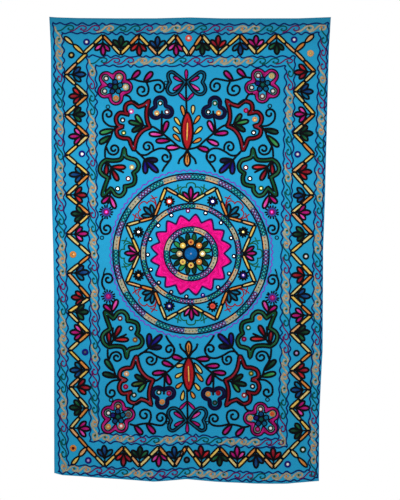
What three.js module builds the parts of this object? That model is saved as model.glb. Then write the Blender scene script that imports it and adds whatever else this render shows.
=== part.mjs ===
// A wall tapestry: one hemmed cotton panel that hangs by its top edge, with small round mirrors
// sewn on its face.
//
// Lengths are millimetres. +Z is up, the face looks along -Y and the wall is the plane Y = 0.
// The origin is the middle of the top edge, where the panel is fixed to the wall.
import * as THREE from "three";
import { mergeVertices } from "three/addons/utils/BufferGeometryUtils.js";

// The panel
const topWidth = 914;
const panelDrop = 1515; // from the top edge to the lowest point of the bottom edge
const clothThickness = 1.4;
const hemThickness = 2.2;
const hemWidth = 15;
const hemStep = 5; // over this width the turned hem thins to the single cloth
const cellSize = 37; // longest side of a cell of the surface

// The way it hangs
const fixedStrip = 130; // below the top edge the panel leaves the wall over this height
const standOff = 5; // how far the flat parts of the panel hang clear of the wall

// The mirrors
const mirrorThickness = 1.2;
const mirrorSides = 12;
const mirrorSeat = 0.3; // air between the cloth and a mirror's back
const borderMirrorRadius = 6.5;
const flowerMirrorRadius = 7.5;
const tipMirrorRadius = 6;
const budMirrorRadius = 5.5;

// Left and right edges, at each distance down from the top edge
const sideEdges = [
  { down: 0, left: -460, right: 457 },
  { down: 110, left: -454, right: 450 },
  { down: 340, left: -452.5, right: 443.5 },
  { down: 600, left: -451, right: 437 },
  { down: 760, left: -447, right: 431.5 },
  { down: 900, left: -444, right: 430.5 },
  { down: 1090, left: -443.5, right: 429.5 },
  { down: 1190, left: -443.5, right: 424 },
  { down: 1300, left: -443.5, right: 418.5 },
  { down: 1515, left: -443, right: 417.5 },
];

// Top and bottom edges, at each distance across from the middle
const levelEdges = [
  { across: -457, top: 2, bottom: -1482 },
  { across: -430, top: 0, bottom: -1489 },
  { across: -360, top: -2, bottom: -1492 },
  { across: -240, top: -3, bottom: -1500 },
  { across: -110, top: -3, bottom: -1508 },
  { across: 0, top: 0, bottom: -1502 },
  { across: 100, top: -3, bottom: -1509 },
  { across: 230, top: -3, bottom: -1514.5 },
  { across: 350, top: -3, bottom: -1514.5 },
  { across: 457, top: 1, bottom: -1508 },
];

// Soft folds that run down the panel. Each swells from its height at the top to that at the
// bottom edge, and leans across by its lean for each millimetre of drop.
const hangingFolds = [
  { centre: -345, halfWidth: 85, lean: 0.03, topHeight: 1.5, bottomHeight: 9 },
  { centre: -150, halfWidth: 95, lean: 0.02, topHeight: 1, bottomHeight: 12 },
  { centre: 75, halfWidth: 80, lean: 0.015, topHeight: 1, bottomHeight: 8 },
  { centre: 300, halfWidth: 95, lean: -0.02, topHeight: 2, bottomHeight: 13 },
];

// Broad swellings where the stitching holds the cloth away from the wall
const swellings = [
  { x: 10, z: -770, halfWidth: 250, halfDrop: 230, height: 4 },
  { x: -250, z: -300, halfWidth: 110, halfDrop: 90, height: 2.5 },
  { x: 240, z: -310, halfWidth: 120, halfDrop: 100, height: 3 },
  { x: 250, z: -1230, halfWidth: 120, halfDrop: 110, height: 2.5 },
];

// Creases left by folding the panel flat for storage: above zero a ridge, below zero a valley
const downCreases = [{ at: -15, height: -3.2, reach: 34 }];
const acrossCreases = [
  { at: -393, height: 2.4, reach: 30 },
  { at: -764, height: -3, reach: 32 },
  { at: -1121, height: -2.6, reach: 30 },
];
const creaseRoundness = 5; // half-width over which a crease's line is rounded

// Mirrors of the border, in order around it
const borderMirrors = [
  { x: -338, z: -81 },
  { x: -387, z: -124 },
  { x: -6, z: -68 },
  { x: 337, z: -73.5 },
  { x: 390, z: -118 },
  { x: 348, z: -446.5 },
  { x: 375, z: -778 },
  { x: 344, z: -1092 },
  { x: 365, z: -1405.5 },
  { x: 315, z: -1452 },
  { x: -12, z: -1439.5 },
  { x: -331.5, z: -1440 },
  { x: -381, z: -1401 },
  { x: -342, z: -1089 },
  { x: -382, z: -772 },
  { x: -352.5, z: -445 },
];

// Corner flowers of the field, each with a mirror in every lobe, at the lobe's angle and reach
const cornerFlowers = [
  {
    name: "upper_left",
    x: -244,
    z: -228,
    lobes: [
      { angle: 0, reach: 33 },
      { angle: 69, reach: 34 },
      { angle: 137, reach: 41 },
      { angle: 201, reach: 37 },
      { angle: 273, reach: 36 },
    ],
  },
  {
    name: "upper_right",
    x: 234.5,
    z: -220,
    lobes: [
      { angle: 44, reach: 40 },
      { angle: 116, reach: 33 },
      { angle: 195, reach: 37 },
      { angle: 268, reach: 38 },
      { angle: 327, reach: 39 },
    ],
  },
  {
    name: "lower_left",
    x: -235.5,
    z: -1298,
    lobes: [
      { angle: 12, reach: 34 },
      { angle: 89, reach: 33 },
      { angle: 159, reach: 33 },
      { angle: 226, reach: 45 },
      { angle: 289, reach: 32 },
    ],
  },
  {
    name: "lower_right",
    x: 230,
    z: -1306,
    lobes: [
      { angle: 27, reach: 39 },
      { angle: 95, reach: 33 },
      { angle: 174, reach: 36 },
      { angle: 249, reach: 34.5 },
      { angle: 316, reach: 41 },
    ],
  },
];

// Spiked rounds at the sides of the field
const sunMirrors = [
  { x: -273.5, z: -634 },
  { x: 264.5, z: -634 },
  { x: -266.5, z: -908 },
  { x: 266, z: -912 },
];

// The round centrepiece: a mirror in its middle, a ring of buds and a ring of star tips
const centrepiece = { x: 1.5, z: -769.5 };
const mirrorRings = [
  { name: "mirror_bud", count: 8, reach: 37.5, firstAngle: 0, radius: budMirrorRadius },
  { name: "mirror_tip", count: 8, reach: 184, firstAngle: 22.5, radius: tipMirrorRadius },
];

const clothColour = 0x1f93c4;
const mirrorColour = 0xe9edf0;

// Straight-line value of a table's column between the two rows around a place.
function lookUp(table, placeName, place, column) {
  const last = table.length - 1;
  let row = 0;
  while (row < last - 1 && table[row + 1][placeName] < place) {
    row += 1;
  }
  const from = table[row];
  const to = table[row + 1];
  const share = (place - from[placeName]) / (to[placeName] - from[placeName]);
  return THREE.MathUtils.lerp(from[column], to[column], THREE.MathUtils.clamp(share, 0, 1));
}

// A bell curve that is 1 at 0 and dies away past one half-width.
function bell(distance, halfWidth) {
  return Math.exp(-((distance / halfWidth) ** 2));
}

// A tent-like crease section: steep beside the line, rounded on it.
function creaseSection(distance, reach) {
  const rounded = Math.hypot(distance, creaseRoundness) - creaseRoundness;
  return Math.exp(-rounded / reach);
}

// How far the panel's back stands in front of the wall at a place on the panel.
function standForward(x, z) {
  const down = THREE.MathUtils.clamp(-z / panelDrop, 0, 1);
  let forward = standOff;
  for (const fold of hangingFolds) {
    const height = THREE.MathUtils.lerp(fold.topHeight, fold.bottomHeight, down);
    forward += height * bell(x - fold.centre + fold.lean * z, fold.halfWidth);
  }
  for (const swelling of swellings) {
    const acrossShare = bell(x - swelling.x, swelling.halfWidth);
    forward += swelling.height * acrossShare * bell(z - swelling.z, swelling.halfDrop);
  }
  for (const crease of downCreases) {
    forward += crease.height * creaseSection(x - crease.at, crease.reach);
  }
  for (const crease of acrossCreases) {
    forward += crease.height * creaseSection(z - crease.at, crease.reach);
  }
  return forward * THREE.MathUtils.smoothstep(-z, 0, fixedStrip);
}

// Places along one side of the surface: the given ones, with even steps between them.
function stations(length, given) {
  const places = [];
  for (let i = 0; i < given.length - 1; i += 1) {
    const span = given[i + 1] - given[i];
    const steps = Math.ceil(span / cellSize);
    for (let k = 0; k < steps; k += 1) {
      places.push((given[i] + (span * k) / steps) / length);
    }
  }
  places.push(1);
  return places;
}

// Thickness near an edge: the turned hem, then a short slope down to the single cloth.
function thicknessAt(fromEdge) {
  const share = THREE.MathUtils.clamp((fromEdge - hemWidth) / hemStep, 0, 1);
  return THREE.MathUtils.lerp(hemThickness, clothThickness, share);
}

// The panel: a front and a back sheet of cells inside the uneven outline, closed round the edge.
function panelGeometry() {
  const hemLines = [0, hemWidth, hemWidth + hemStep];
  const creaseLines = (creases, offset) => creases.map((crease) => offset + Math.abs(crease.at));
  const acrossPlaces = stations(topWidth, [
    ...hemLines,
    topWidth / 2 + downCreases[0].at,
    ...hemLines.map((line) => topWidth - line).reverse(),
  ]);
  const downPlaces = stations(panelDrop, [
    ...hemLines,
    ...creaseLines(acrossCreases, 0),
    ...hemLines.map((line) => panelDrop - line).reverse(),
  ]);
  const columns = acrossPlaces.length;
  const rows = downPlaces.length;
  const positions = [];
  for (const isFront of [true, false]) {
    for (const v of downPlaces) {
      const down = v * panelDrop;
      const left = lookUp(sideEdges, "down", down, "left");
      const right = lookUp(sideEdges, "down", down, "right");
      for (const u of acrossPlaces) {
        const across = (u - 0.5) * topWidth;
        const top = lookUp(levelEdges, "across", across, "top");
        const bottom = lookUp(levelEdges, "across", across, "bottom");
        const x = THREE.MathUtils.lerp(left, right, u);
        const z = THREE.MathUtils.lerp(top, bottom, v);
        const fromSide = Math.min(u, 1 - u) * topWidth;
        const fromEnd = Math.min(v, 1 - v) * panelDrop;
        const thickness = thicknessAt(Math.min(fromSide, fromEnd));
        const forward = standForward(x, z);
        positions.push(x, isFront ? -forward - thickness : -forward, z);
      }
    }
  }
  const sheetSize = columns * rows;
  const corner = (column, row, sheet) => sheet * sheetSize + row * columns + column;
  const faces = [];
  const addQuad = (a, b, c, d) => faces.push(a, b, c, a, c, d);
  for (let row = 0; row < rows - 1; row += 1) {
    for (let column = 0; column < columns - 1; column += 1) {
      const here = [column, row];
      const below = [column, row + 1];
      const across = [column + 1, row + 1];
      const beside = [column + 1, row];
      addQuad(...[here, below, across, beside].map(([c, r]) => corner(c, r, 0)));
      addQuad(...[beside, across, below, here].map(([c, r]) => corner(c, r, 1)));
    }
  }
  // The rim joins each step of the outline, walked anticlockwise as the face is seen.
  const rim = [];
  for (let row = 0; row < rows - 1; row += 1) rim.push([0, row]);
  for (let column = 0; column < columns - 1; column += 1) rim.push([column, rows - 1]);
  for (let row = rows - 1; row > 0; row -= 1) rim.push([columns - 1, row]);
  for (let column = columns - 1; column > 0; column -= 1) rim.push([column, 0]);
  rim.forEach(([column, row], i) => {
    const [nextColumn, nextRow] = rim[(i + 1) % rim.length];
    addQuad(
      corner(column, row, 0),
      corner(column, row, 1),
      corner(nextColumn, nextRow, 1),
      corner(nextColumn, nextRow, 0),
    );
  });
  const geometry = new THREE.BufferGeometry();
  geometry.setAttribute("position", new THREE.Float32BufferAttribute(positions, 3));
  geometry.setIndex(faces);
  const merged = mergeVertices(geometry);
  merged.computeVertexNormals();
  return merged;
}

// Distance in front of the wall of the panel's face, found by looking at it from the front.
function makeFaceFinder(panel) {
  const farInFront = -200;
  const towardsWall = new THREE.Vector3(0, 1, 0);
  const ray = new THREE.Raycaster();
  return (x, z) => {
    ray.set(new THREE.Vector3(x, farInFront, z), towardsWall);
    return -ray.intersectObject(panel)[0].point.y;
  };
}

// A mirror: a thin round disc tilted to the face under it, its back one seat clear of the cloth.
function makeMirror(name, x, z, radius, faceAt, material) {
  const slopeX = (faceAt(x + radius, z) - faceAt(x - radius, z)) / (2 * radius);
  const slopeZ = (faceAt(x, z + radius) - faceAt(x, z - radius)) / (2 * radius);
  const middle = faceAt(x, z);
  let highest = 0; // how far the cloth stands in front of the disc's tilted plane
  for (let side = 0; side < mirrorSides; side += 1) {
    const turn = (side / mirrorSides) * 2 * Math.PI;
    for (const reach of [radius / 2, radius]) {
      const dx = reach * Math.cos(turn);
      const dz = reach * Math.sin(turn);
      const plane = middle + slopeX * dx + slopeZ * dz;
      highest = Math.max(highest, faceAt(x + dx, z + dz) - plane);
    }
  }
  const facing = new THREE.Vector3(-slopeX, -1, -slopeZ).normalize();
  const disc = new THREE.CylinderGeometry(radius, radius, mirrorThickness, mirrorSides);
  const mirror = new THREE.Mesh(disc, material);
  mirror.name = name;
  mirror.quaternion.setFromUnitVectors(new THREE.Vector3(0, 1, 0), facing);
  mirror.position.set(x, -(middle + highest), z);
  mirror.position.addScaledVector(facing, mirrorSeat + mirrorThickness / 2);
  return mirror;
}

const tapestry = new THREE.Group();

const clothMaterial = new THREE.MeshStandardMaterial({ color: clothColour, roughness: 0.9 });
const cloth = new THREE.Mesh(panelGeometry(), clothMaterial);
cloth.name = "cloth";
tapestry.add(cloth);
cloth.updateMatrixWorld();

const mirrorMaterial = new THREE.MeshStandardMaterial({
  color: mirrorColour,
  roughness: 0.08,
  metalness: 1,
});
const faceAt = makeFaceFinder(cloth);
const sewOn = (name, x, z, radius) =>
  tapestry.add(makeMirror(name, x, z, radius, faceAt, mirrorMaterial));

borderMirrors.forEach(({ x, z }, i) => sewOn(`mirror_border_${i + 1}`, x, z, borderMirrorRadius));
sunMirrors.forEach(({ x, z }, i) => sewOn(`mirror_sun_${i + 1}`, x, z, tipMirrorRadius));
for (const flower of cornerFlowers) {
  flower.lobes.forEach(({ angle, reach }, i) => {
    const turn = THREE.MathUtils.degToRad(angle);
    const x = flower.x + reach * Math.cos(turn);
    const z = flower.z + reach * Math.sin(turn);
    sewOn(`mirror_${flower.name}_${i + 1}`, x, z, flowerMirrorRadius);
  });
}
for (const ring of mirrorRings) {
  for (let i = 0; i < ring.count; i += 1) {
    const turn = THREE.MathUtils.degToRad(ring.firstAngle + (360 * i) / ring.count);
    const x = centrepiece.x + ring.reach * Math.cos(turn);
    const z = centrepiece.z + ring.reach * Math.sin(turn);
    sewOn(`${ring.name}_${i + 1}`, x, z, ring.radius);
  }
}
sewOn("mirror_centre", centrepiece.x, centrepiece.z, budMirrorRadius);

export default tapestry;
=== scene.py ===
# A cotton wall hanging, held by its top edge: a hemmed turquoise panel worked in chain stitch with
# borders, flowers and a round centrepiece, and set with small round mirrors under rings of thread.
# Lengths are millimetres until a mesh is made. A place on the panel is one complex number, across
# plus 1j times up, from the middle of the top edge, and the panel's face looks along -Y.
import math

import bpy
import numpy as np
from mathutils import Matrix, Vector


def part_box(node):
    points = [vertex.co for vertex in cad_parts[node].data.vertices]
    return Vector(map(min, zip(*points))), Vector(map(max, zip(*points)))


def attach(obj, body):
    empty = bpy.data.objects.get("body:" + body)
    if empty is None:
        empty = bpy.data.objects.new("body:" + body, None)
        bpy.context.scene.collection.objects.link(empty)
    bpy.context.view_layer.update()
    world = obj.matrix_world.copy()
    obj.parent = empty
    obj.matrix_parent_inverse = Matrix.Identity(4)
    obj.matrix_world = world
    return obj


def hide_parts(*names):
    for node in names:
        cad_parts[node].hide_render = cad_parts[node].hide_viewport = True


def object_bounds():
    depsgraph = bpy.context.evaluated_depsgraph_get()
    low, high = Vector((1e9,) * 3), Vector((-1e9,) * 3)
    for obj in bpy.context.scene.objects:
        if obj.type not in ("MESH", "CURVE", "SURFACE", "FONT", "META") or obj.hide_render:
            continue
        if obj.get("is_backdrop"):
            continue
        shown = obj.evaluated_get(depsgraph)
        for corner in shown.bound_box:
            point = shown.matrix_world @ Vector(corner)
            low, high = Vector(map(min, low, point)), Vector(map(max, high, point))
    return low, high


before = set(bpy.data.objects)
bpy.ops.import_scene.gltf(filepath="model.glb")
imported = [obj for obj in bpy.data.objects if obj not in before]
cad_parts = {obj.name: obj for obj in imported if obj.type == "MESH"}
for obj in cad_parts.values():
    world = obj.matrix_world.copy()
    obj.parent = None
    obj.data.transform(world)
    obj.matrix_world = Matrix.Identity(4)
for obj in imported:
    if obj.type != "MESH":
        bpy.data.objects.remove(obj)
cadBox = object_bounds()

metre = 0.001  # metres in a millimetre
dice = np.random.default_rng(36)  # the one seeded source of everything uneven

# Thread, cloth and glass colours, as red, green and blue out of 255
colours = {
    "ground": (30, 150, 194),
    # edgeShade is the painted shade of the cloth along its top edge
    "edgeShade": (24, 112, 142),
    "ink": (2, 3, 9),
    "navyLine": (4, 26, 92),
    "navy": (20, 12, 112),
    "night": (6, 5, 40),
    "violet": (112, 66, 190),
    "magenta": (166, 10, 106),
    "pink": (212, 62, 158),
    "hotPink": (232, 4, 132),
    "red": (138, 14, 32),
    "scarlet": (182, 28, 36),
    "garnet": (92, 8, 28),
    "garnetRed": (150, 30, 42),
    "coral": (226, 78, 62),
    "orange": (208, 130, 56),
    "peach": (216, 158, 100),
    "yellow": (222, 184, 86),
    "cream": (214, 190, 118),
    "white": (246, 244, 240),
    "tan": (176, 160, 128),
    "strawGrey": (148, 158, 142),
    "scrollTan": (156, 150, 126),
    "brown": (110, 74, 50),
    "plum": (96, 10, 80),
    "grape": (36, 6, 66),
    "lilac": (196, 160, 216),
    "scrollGreen": (0, 78, 70),
    "seaGreen": (84, 196, 166),
    "darkGreen": (4, 46, 28),
    "green": (18, 86, 48),
    "brightGreen": (46, 134, 68),
    "olive": (56, 84, 34),
    "teal": (0, 98, 138),
    "blue": (4, 58, 116),
    "dusk": (62, 58, 142),
    "deepNavy": (8, 8, 58),
    "deepTeal": (0, 76, 106),
    "sage": (120, 146, 136),
    "centreBlue": (0, 96, 164),
    "dim": (84, 94, 112),
}


def linearColour(name):
    # The named colour as linear light: the power curve of sRGB undone
    share = np.array(colours[name]) / 255
    return np.where(share <= 0.04045, share / 12.92, ((share + 0.055) / 1.055) ** 2.4)


# The panel, as it hangs
panel = {
    "topWidth": 914,
    "drop": 1515,
    "thickness": 1.4,
    "hemThickness": 2.2,
    "hemWidth": 15,
    "hemStep": 5,
    "fixedStrip": 130,  # the panel leaves the wall over this height
    "standOff": 5,
    "creaseRoundness": 5,
    "columns": 112,
    "rows": 184,
    "puckerHeight": 0.34,  # small unevenness that the stitching draws in
    "puckerWaves": 16,
    "cut": (0.93, 1.53),  # metres, before hemming: the hung panel, its hems and what the folds take up
}
# Down from the top edge: left edge, right edge
sideEdges = np.array([
    (0, -460, 457), (110, -454, 450), (340, -452.5, 443.5), (600, -451, 437), (760, -447, 431.5),
    (900, -444, 430.5), (1090, -443.5, 429.5), (1190, -443.5, 424), (1300, -443.5, 418.5),
    (1515, -443, 417.5),
])
# Across from the middle: top edge, bottom edge
levelEdges = np.array([
    (-457, 2, -1482), (-430, 0, -1489), (-360, -2, -1492), (-240, -3, -1500), (-110, -3, -1508),
    (0, 0, -1502), (100, -3, -1509), (230, -3, -1514.5), (350, -3, -1514.5), (457, 1, -1508),
])
hangingFolds = [  # centre, half-width, lean, height at the top, height at the bottom
    (-345, 85, 0.03, 1.5, 9), (-150, 95, 0.02, 1, 12), (75, 80, 0.015, 1, 8), (300, 95, -0.02, 2, 13),
]
swellings = [  # across, up, half-width, half-height, height
    (10, -770, 250, 230, 4), (-250, -300, 110, 90, 2.5), (240, -310, 120, 100, 3),
    (250, -1230, 120, 110, 2.5),
]
downCreases = [(-15, -3.2, 34)]  # where, height, reach
acrossCreases = [(-393, 2.4, 30), (-764, -3, 32), (-1121, -2.6, 30)]
puckerHeadings = dice.uniform(0, 2 * np.pi, panel["puckerWaves"])
puckerLengths = dice.uniform(26, 70, panel["puckerWaves"])
puckerPhases = dice.uniform(0, 2 * np.pi, panel["puckerWaves"])


def smoothStep(share):
    # From 0 to 1 along a cubic that is level at both ends
    share = np.clip(share, 0, 1)
    return share * share * (3 - 2 * share)


def creaseSection(distance, reach):
    # A tent that dies away past its reach, rounded on its line
    rounded = np.hypot(distance, panel["creaseRoundness"]) - panel["creaseRoundness"]
    return np.exp(-rounded / reach)


def backForward(place):
    # How far the back stands off the wall: bells for folds and swellings, tents for creases, and
    # short plane waves for the puckers, all dying away at the fixed top edge
    x, z = place.real, place.imag
    down = np.clip(-z / panel["drop"], 0, 1)
    forward = np.full(x.shape, float(panel["standOff"]))
    for centre, halfWidth, lean, topHeight, bottomHeight in hangingFolds:
        height = topHeight + (bottomHeight - topHeight) * down
        forward += height * np.exp(-(((x - centre + lean * z) / halfWidth) ** 2))
    for across, up, halfWidth, halfDrop, height in swellings:
        forward += height * np.exp(-(((x - across) / halfWidth) ** 2) - ((z - up) / halfDrop) ** 2)
    for at, height, reach in downCreases:
        forward += height * creaseSection(x - at, reach)
    for at, height, reach in acrossCreases:
        forward += height * creaseSection(z - at, reach)
    share = panel["puckerHeight"] / math.sqrt(panel["puckerWaves"])
    for heading, length, phase in zip(puckerHeadings, puckerLengths, puckerPhases):
        along = x * math.cos(heading) + z * math.sin(heading)
        forward += share * np.sin(2 * np.pi * along / length + phase)
    return forward * smoothStep(-z / panel["fixedStrip"])


def faceForward(place):
    # How far the face stands off the wall: the back, with one cloth on it or the turned hem
    x, z = place.real, place.imag
    left, right = (np.interp(-z, sideEdges[:, 0], sideEdges[:, side]) for side in (1, 2))
    top, bottom = (np.interp(x, levelEdges[:, 0], levelEdges[:, side]) for side in (1, 2))
    fromEdge = np.minimum(np.minimum(x - left, right - x), np.minimum(top - z, z - bottom))
    share = np.clip((fromEdge - panel["hemWidth"]) / panel["hemStep"], 0, 1)
    return backForward(place) + panel["hemThickness"] + (panel["thickness"] - panel["hemThickness"]) * share


def onPanel(across, down):
    # The place at a distance across from the left edge and down from the top edge of the flat panel:
    # each pair of edges is walked by straight shares
    u, v = across / panel["topWidth"], down / panel["drop"]
    left, right = (np.interp(down, sideEdges[:, 0], sideEdges[:, side]) for side in (1, 2))
    middle = across - panel["topWidth"] / 2
    top, bottom = (np.interp(middle, levelEdges[:, 0], levelEdges[:, side]) for side in (1, 2))
    return left + (right - left) * u + 1j * (top + (bottom - top) * v)


def addAttribute(mesh, name, kind, domain, field, columns):
    # Values on every point or corner, one column for each part
    data = mesh.attributes.new(name, kind, domain).data
    data.foreach_set(field, np.column_stack(columns).astype(np.float32).ravel())


def makePiece(name, points, faceSets, material, tints=None, runs=None):
    # A mesh from whole arrays: points in millimetres, and sets of three- or four-cornered faces
    corners = np.concatenate([faces.ravel() for faces in faceSets])
    sizes = np.concatenate([np.full(len(faces), faces.shape[1]) for faces in faceSets])
    mesh = bpy.data.meshes.new(name)
    mesh.vertices.add(len(points))
    mesh.vertices.foreach_set("co", (points * metre).astype(np.float32).ravel())
    mesh.loops.add(len(corners))
    mesh.loops.foreach_set("vertex_index", corners.astype(np.int32))
    mesh.polygons.add(len(sizes))
    mesh.polygons.foreach_set("loop_start", (np.cumsum(sizes) - sizes).astype(np.int32))
    mesh.polygons.foreach_set("use_smooth", np.ones(len(sizes), bool))
    if tints is not None:
        addAttribute(mesh, "tint", "FLOAT_COLOR", "POINT", "color", [tints, np.ones(len(tints))])
    if runs is not None:
        # Each corner has its stitch count and its place across the row. Where a closed row's last face
        # comes round to its first ring, that ring counts as the next one.
        along, across = runs[corners].T
        last = np.repeat(np.maximum.reduceat(along, np.cumsum(sizes) - sizes), sizes)
        along = np.where(last - along > 0.8, last + 0.5, along)
        addAttribute(mesh, "run", "FLOAT_VECTOR", "CORNER", "vector", [along, across, 0 * along])
    mesh.update(calc_edges=True)
    mesh.validate()
    mesh.materials.append(material)
    piece = bpy.data.objects.new(name, mesh)
    bpy.context.scene.collection.objects.link(piece)
    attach(piece, "root")
    print(f"{name}: {int((sizes - 2).sum())} triangles")
    return piece


# Finishes. Each effect that more than one of them uses is a group of its own.
def newGroup(name, inputs, outputs):
    # A node group with float, vector or colour sockets, given as name: (kind, value)
    tree = bpy.data.node_groups.new(name, "ShaderNodeTree")
    for socketName, (kind, value) in inputs.items():
        socket = tree.interface.new_socket(socketName, in_out="INPUT", socket_type=f"NodeSocket{kind}")
        if value is not None:
            socket.default_value = value
    for socketName, kind in outputs.items():
        tree.interface.new_socket(socketName, in_out="OUTPUT", socket_type=f"NodeSocket{kind}")
    return tree, tree.nodes.new("NodeGroupInput"), tree.nodes.new("NodeGroupOutput")


def addNode(tree, kind, **settings):
    # A node; a setting named after a property sets it, one after a socket is put or linked there
    node = tree.nodes.new(kind)
    for name, value in settings.items():
        if hasattr(node, name):
            setattr(node, name, value)
            continue
        index = int(name[1:]) if name[1:].isdigit() else name.replace("_", " ")
        if isinstance(value, bpy.types.NodeSocket):
            tree.links.new(value, node.inputs[index])
        else:
            node.inputs[index].default_value = value
    return node


def mathNode(tree, operation, first, second=0.0):
    return addNode(tree, "ShaderNodeMath", operation=operation, i0=first, i1=second).outputs[0]


def times(tree, first, second):
    return mathNode(tree, "MULTIPLY", first, second)


def plus(tree, first, second):
    return mathNode(tree, "ADD", first, second)


def mixColour(tree, blendType, share, first, second):
    node = addNode(tree, "ShaderNodeMix", data_type="RGBA", blend_type=blendType)
    for index, value in ((0, share), (6, first), (7, second)):
        if isinstance(value, bpy.types.NodeSocket):
            tree.links.new(value, node.inputs[index])
        else:
            node.inputs[index].default_value = value
    return node.outputs[2]


def unevenToneGroup():
    # Colour made a little lighter or darker in soft patches of a given size
    tree, given, out = newGroup(
        "unevenTone",
        {
            "Colour": ("Color", None), "Place": ("Vector", None),
            "Patches": ("Float", 8.0), "Depth": ("Float", 0.1),
        },
        {"Colour": "Color"},
    )
    noise = addNode(tree, "ShaderNodeTexNoise", Detail=3.0, Roughness=0.6,
                    Vector=given.outputs["Place"], Scale=given.outputs["Patches"])
    swing = mathNode(tree, "SUBTRACT", noise.outputs["Fac"], 0.5)
    gain = plus(tree, times(tree, swing, times(tree, given.outputs["Depth"], 2.0)), 1.0)
    scaled = addNode(tree, "ShaderNodeVectorMath", operation="SCALE", i0=given.outputs["Colour"])
    tree.links.new(gain, scaled.inputs["Scale"])
    tree.links.new(scaled.outputs[0], out.inputs["Colour"])
    return tree


def plainWeaveGroup():
    # Warp over weft by turns: the product of a sine across and a sine up, with a few thicker yarns
    tree, given, out = newGroup(
        "plainWeave",
        {"Place": ("Vector", None), "Yarns": ("Float", 1500.0), "Slubs": ("Float", 0.3)},
        {"Height": "Float", "Slub": "Float"},
    )
    parts = addNode(tree, "ShaderNodeSeparateXYZ", i0=given.outputs["Place"])
    waves = []
    for axis, stretch in (("X", (1.0, 1.0, 0.02)), ("Z", (0.02, 1.0, 1.0))):
        angle = times(tree, times(tree, parts.outputs[axis], given.outputs["Yarns"]), math.pi)
        waves.append(mathNode(tree, "SINE", angle))
        across = addNode(tree, "ShaderNodeVectorMath", operation="MULTIPLY",
                         i0=given.outputs["Place"], i1=stretch)
        noise = addNode(tree, "ShaderNodeTexNoise", Vector=across.outputs[0], Scale=420.0, Detail=1.0)
        waves.append(noise.outputs["Fac"])
    woven = times(tree, waves[0], waves[2])
    slub = times(tree, plus(tree, waves[1], waves[3]), given.outputs["Slubs"])
    tree.links.new(plus(tree, times(tree, woven, 0.5), slub), out.inputs["Height"])
    tree.links.new(slub, out.inputs["Slub"])
    return tree


def pliedThreadGroup():
    # Slanted ridges of a plied thread along a stitch, and the dip down its middle
    tree, given, out = newGroup(
        "pliedThread",
        {"Run": ("Vector", None), "Plies": ("Float", 3.0), "Slant": ("Float", 0.35)},
        {"Height": "Float"},
    )
    parts = addNode(tree, "ShaderNodeSeparateXYZ", i0=given.outputs["Run"])
    side = mathNode(tree, "ABSOLUTE", parts.outputs["Y"])
    slanted = plus(tree, parts.outputs["X"], times(tree, side, given.outputs["Slant"]))
    angle = times(tree, times(tree, slanted, given.outputs["Plies"]), 2 * math.pi)
    ridge = times(tree, mathNode(tree, "SINE", angle), 0.35)
    dip = times(tree, mathNode(tree, "SMOOTH_MIN", side, 0.4), 1.2)
    tree.links.new(plus(tree, ridge, dip), out.inputs["Height"])
    return tree


unevenTone = unevenToneGroup()
plainWeave = plainWeaveGroup()
pliedThread = pliedThreadGroup()


def startFinish(name):
    # A new material, its node tree and its shader
    material = bpy.data.materials.new(name)
    material.use_nodes = True
    return material, material.node_tree, material.node_tree.nodes["Principled BSDF"]


def placeGroup(tree, group, **settings):
    return addNode(tree, "ShaderNodeGroup", node_tree=group, **settings)


def addBump(tree, shader, height, depth, strength):
    # Height as bump, so many metres deep
    bump = addNode(tree, "ShaderNodeBump", Height=height, Distance=depth, Strength=strength)
    tree.links.new(bump.outputs["Normal"], shader.inputs["Normal"])


def clothFinish():
    # Turquoise cotton: soft dye patches, slubs, painted shade along the top edge, and the weave as bump
    material, tree, shader = startFinish("turquoiseCotton")
    place = addNode(tree, "ShaderNodeTexCoord").outputs["Object"]
    weave = placeGroup(tree, plainWeave, Place=place)
    ground = (*linearColour("ground"), 1)
    height = addNode(tree, "ShaderNodeSeparateXYZ", i0=place).outputs["Z"]
    paintedTopShade = addNode(tree, "ShaderNodeMapRange", interpolation_type="SMOOTHSTEP", Value=height,
                      i1=-0.11, i2=0.0, i3=0.0, i4=0.62)  # painted shade, darker towards the top edge
    ground = mixColour(tree, "MIX", paintedTopShade.outputs[0], ground, (*linearColour("edgeShade"), 1))
    patches = placeGroup(tree, unevenTone, Colour=ground, Place=place, Patches=9.0, Depth=0.05)
    fine = placeGroup(tree, unevenTone, Colour=patches.outputs[0], Place=place, Patches=160.0, Depth=0.09)
    worn = mixColour(tree, "MULTIPLY", weave.outputs["Slub"], fine.outputs[0], (0.8, 0.86, 0.9, 1))
    tree.links.new(worn, shader.inputs["Base Color"])
    addBump(tree, shader, weave.outputs["Height"], 0.00012, 0.6)
    shader.inputs["Roughness"].default_value = 0.85
    shader.inputs["Specular IOR Level"].default_value = 0.15
    return material


def threadFinish():
    # Coloured thread: its tint from the rows, streaks along the stitch, plies as bump, a soft gloss
    material, tree, shader = startFinish("colouredThread")
    tint = addNode(tree, "ShaderNodeAttribute", attribute_name="tint").outputs["Color"]
    run = addNode(tree, "ShaderNodeAttribute", attribute_name="run").outputs["Vector"]
    place = addNode(tree, "ShaderNodeTexCoord").outputs["Object"]
    streaks = placeGroup(tree, unevenTone, Colour=tint, Place=place, Patches=900.0, Depth=0.16)
    patches = placeGroup(tree, unevenTone, Colour=streaks.outputs[0], Place=place, Patches=45.0, Depth=0.14)
    tree.links.new(patches.outputs[0], shader.inputs["Base Color"])
    plies = placeGroup(tree, pliedThread, Run=run)
    addBump(tree, shader, plies.outputs["Height"], 0.0004, 0.8)
    shader.inputs["Roughness"].default_value = 0.6
    shader.inputs["Specular IOR Level"].default_value = 0.08
    return material


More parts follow.
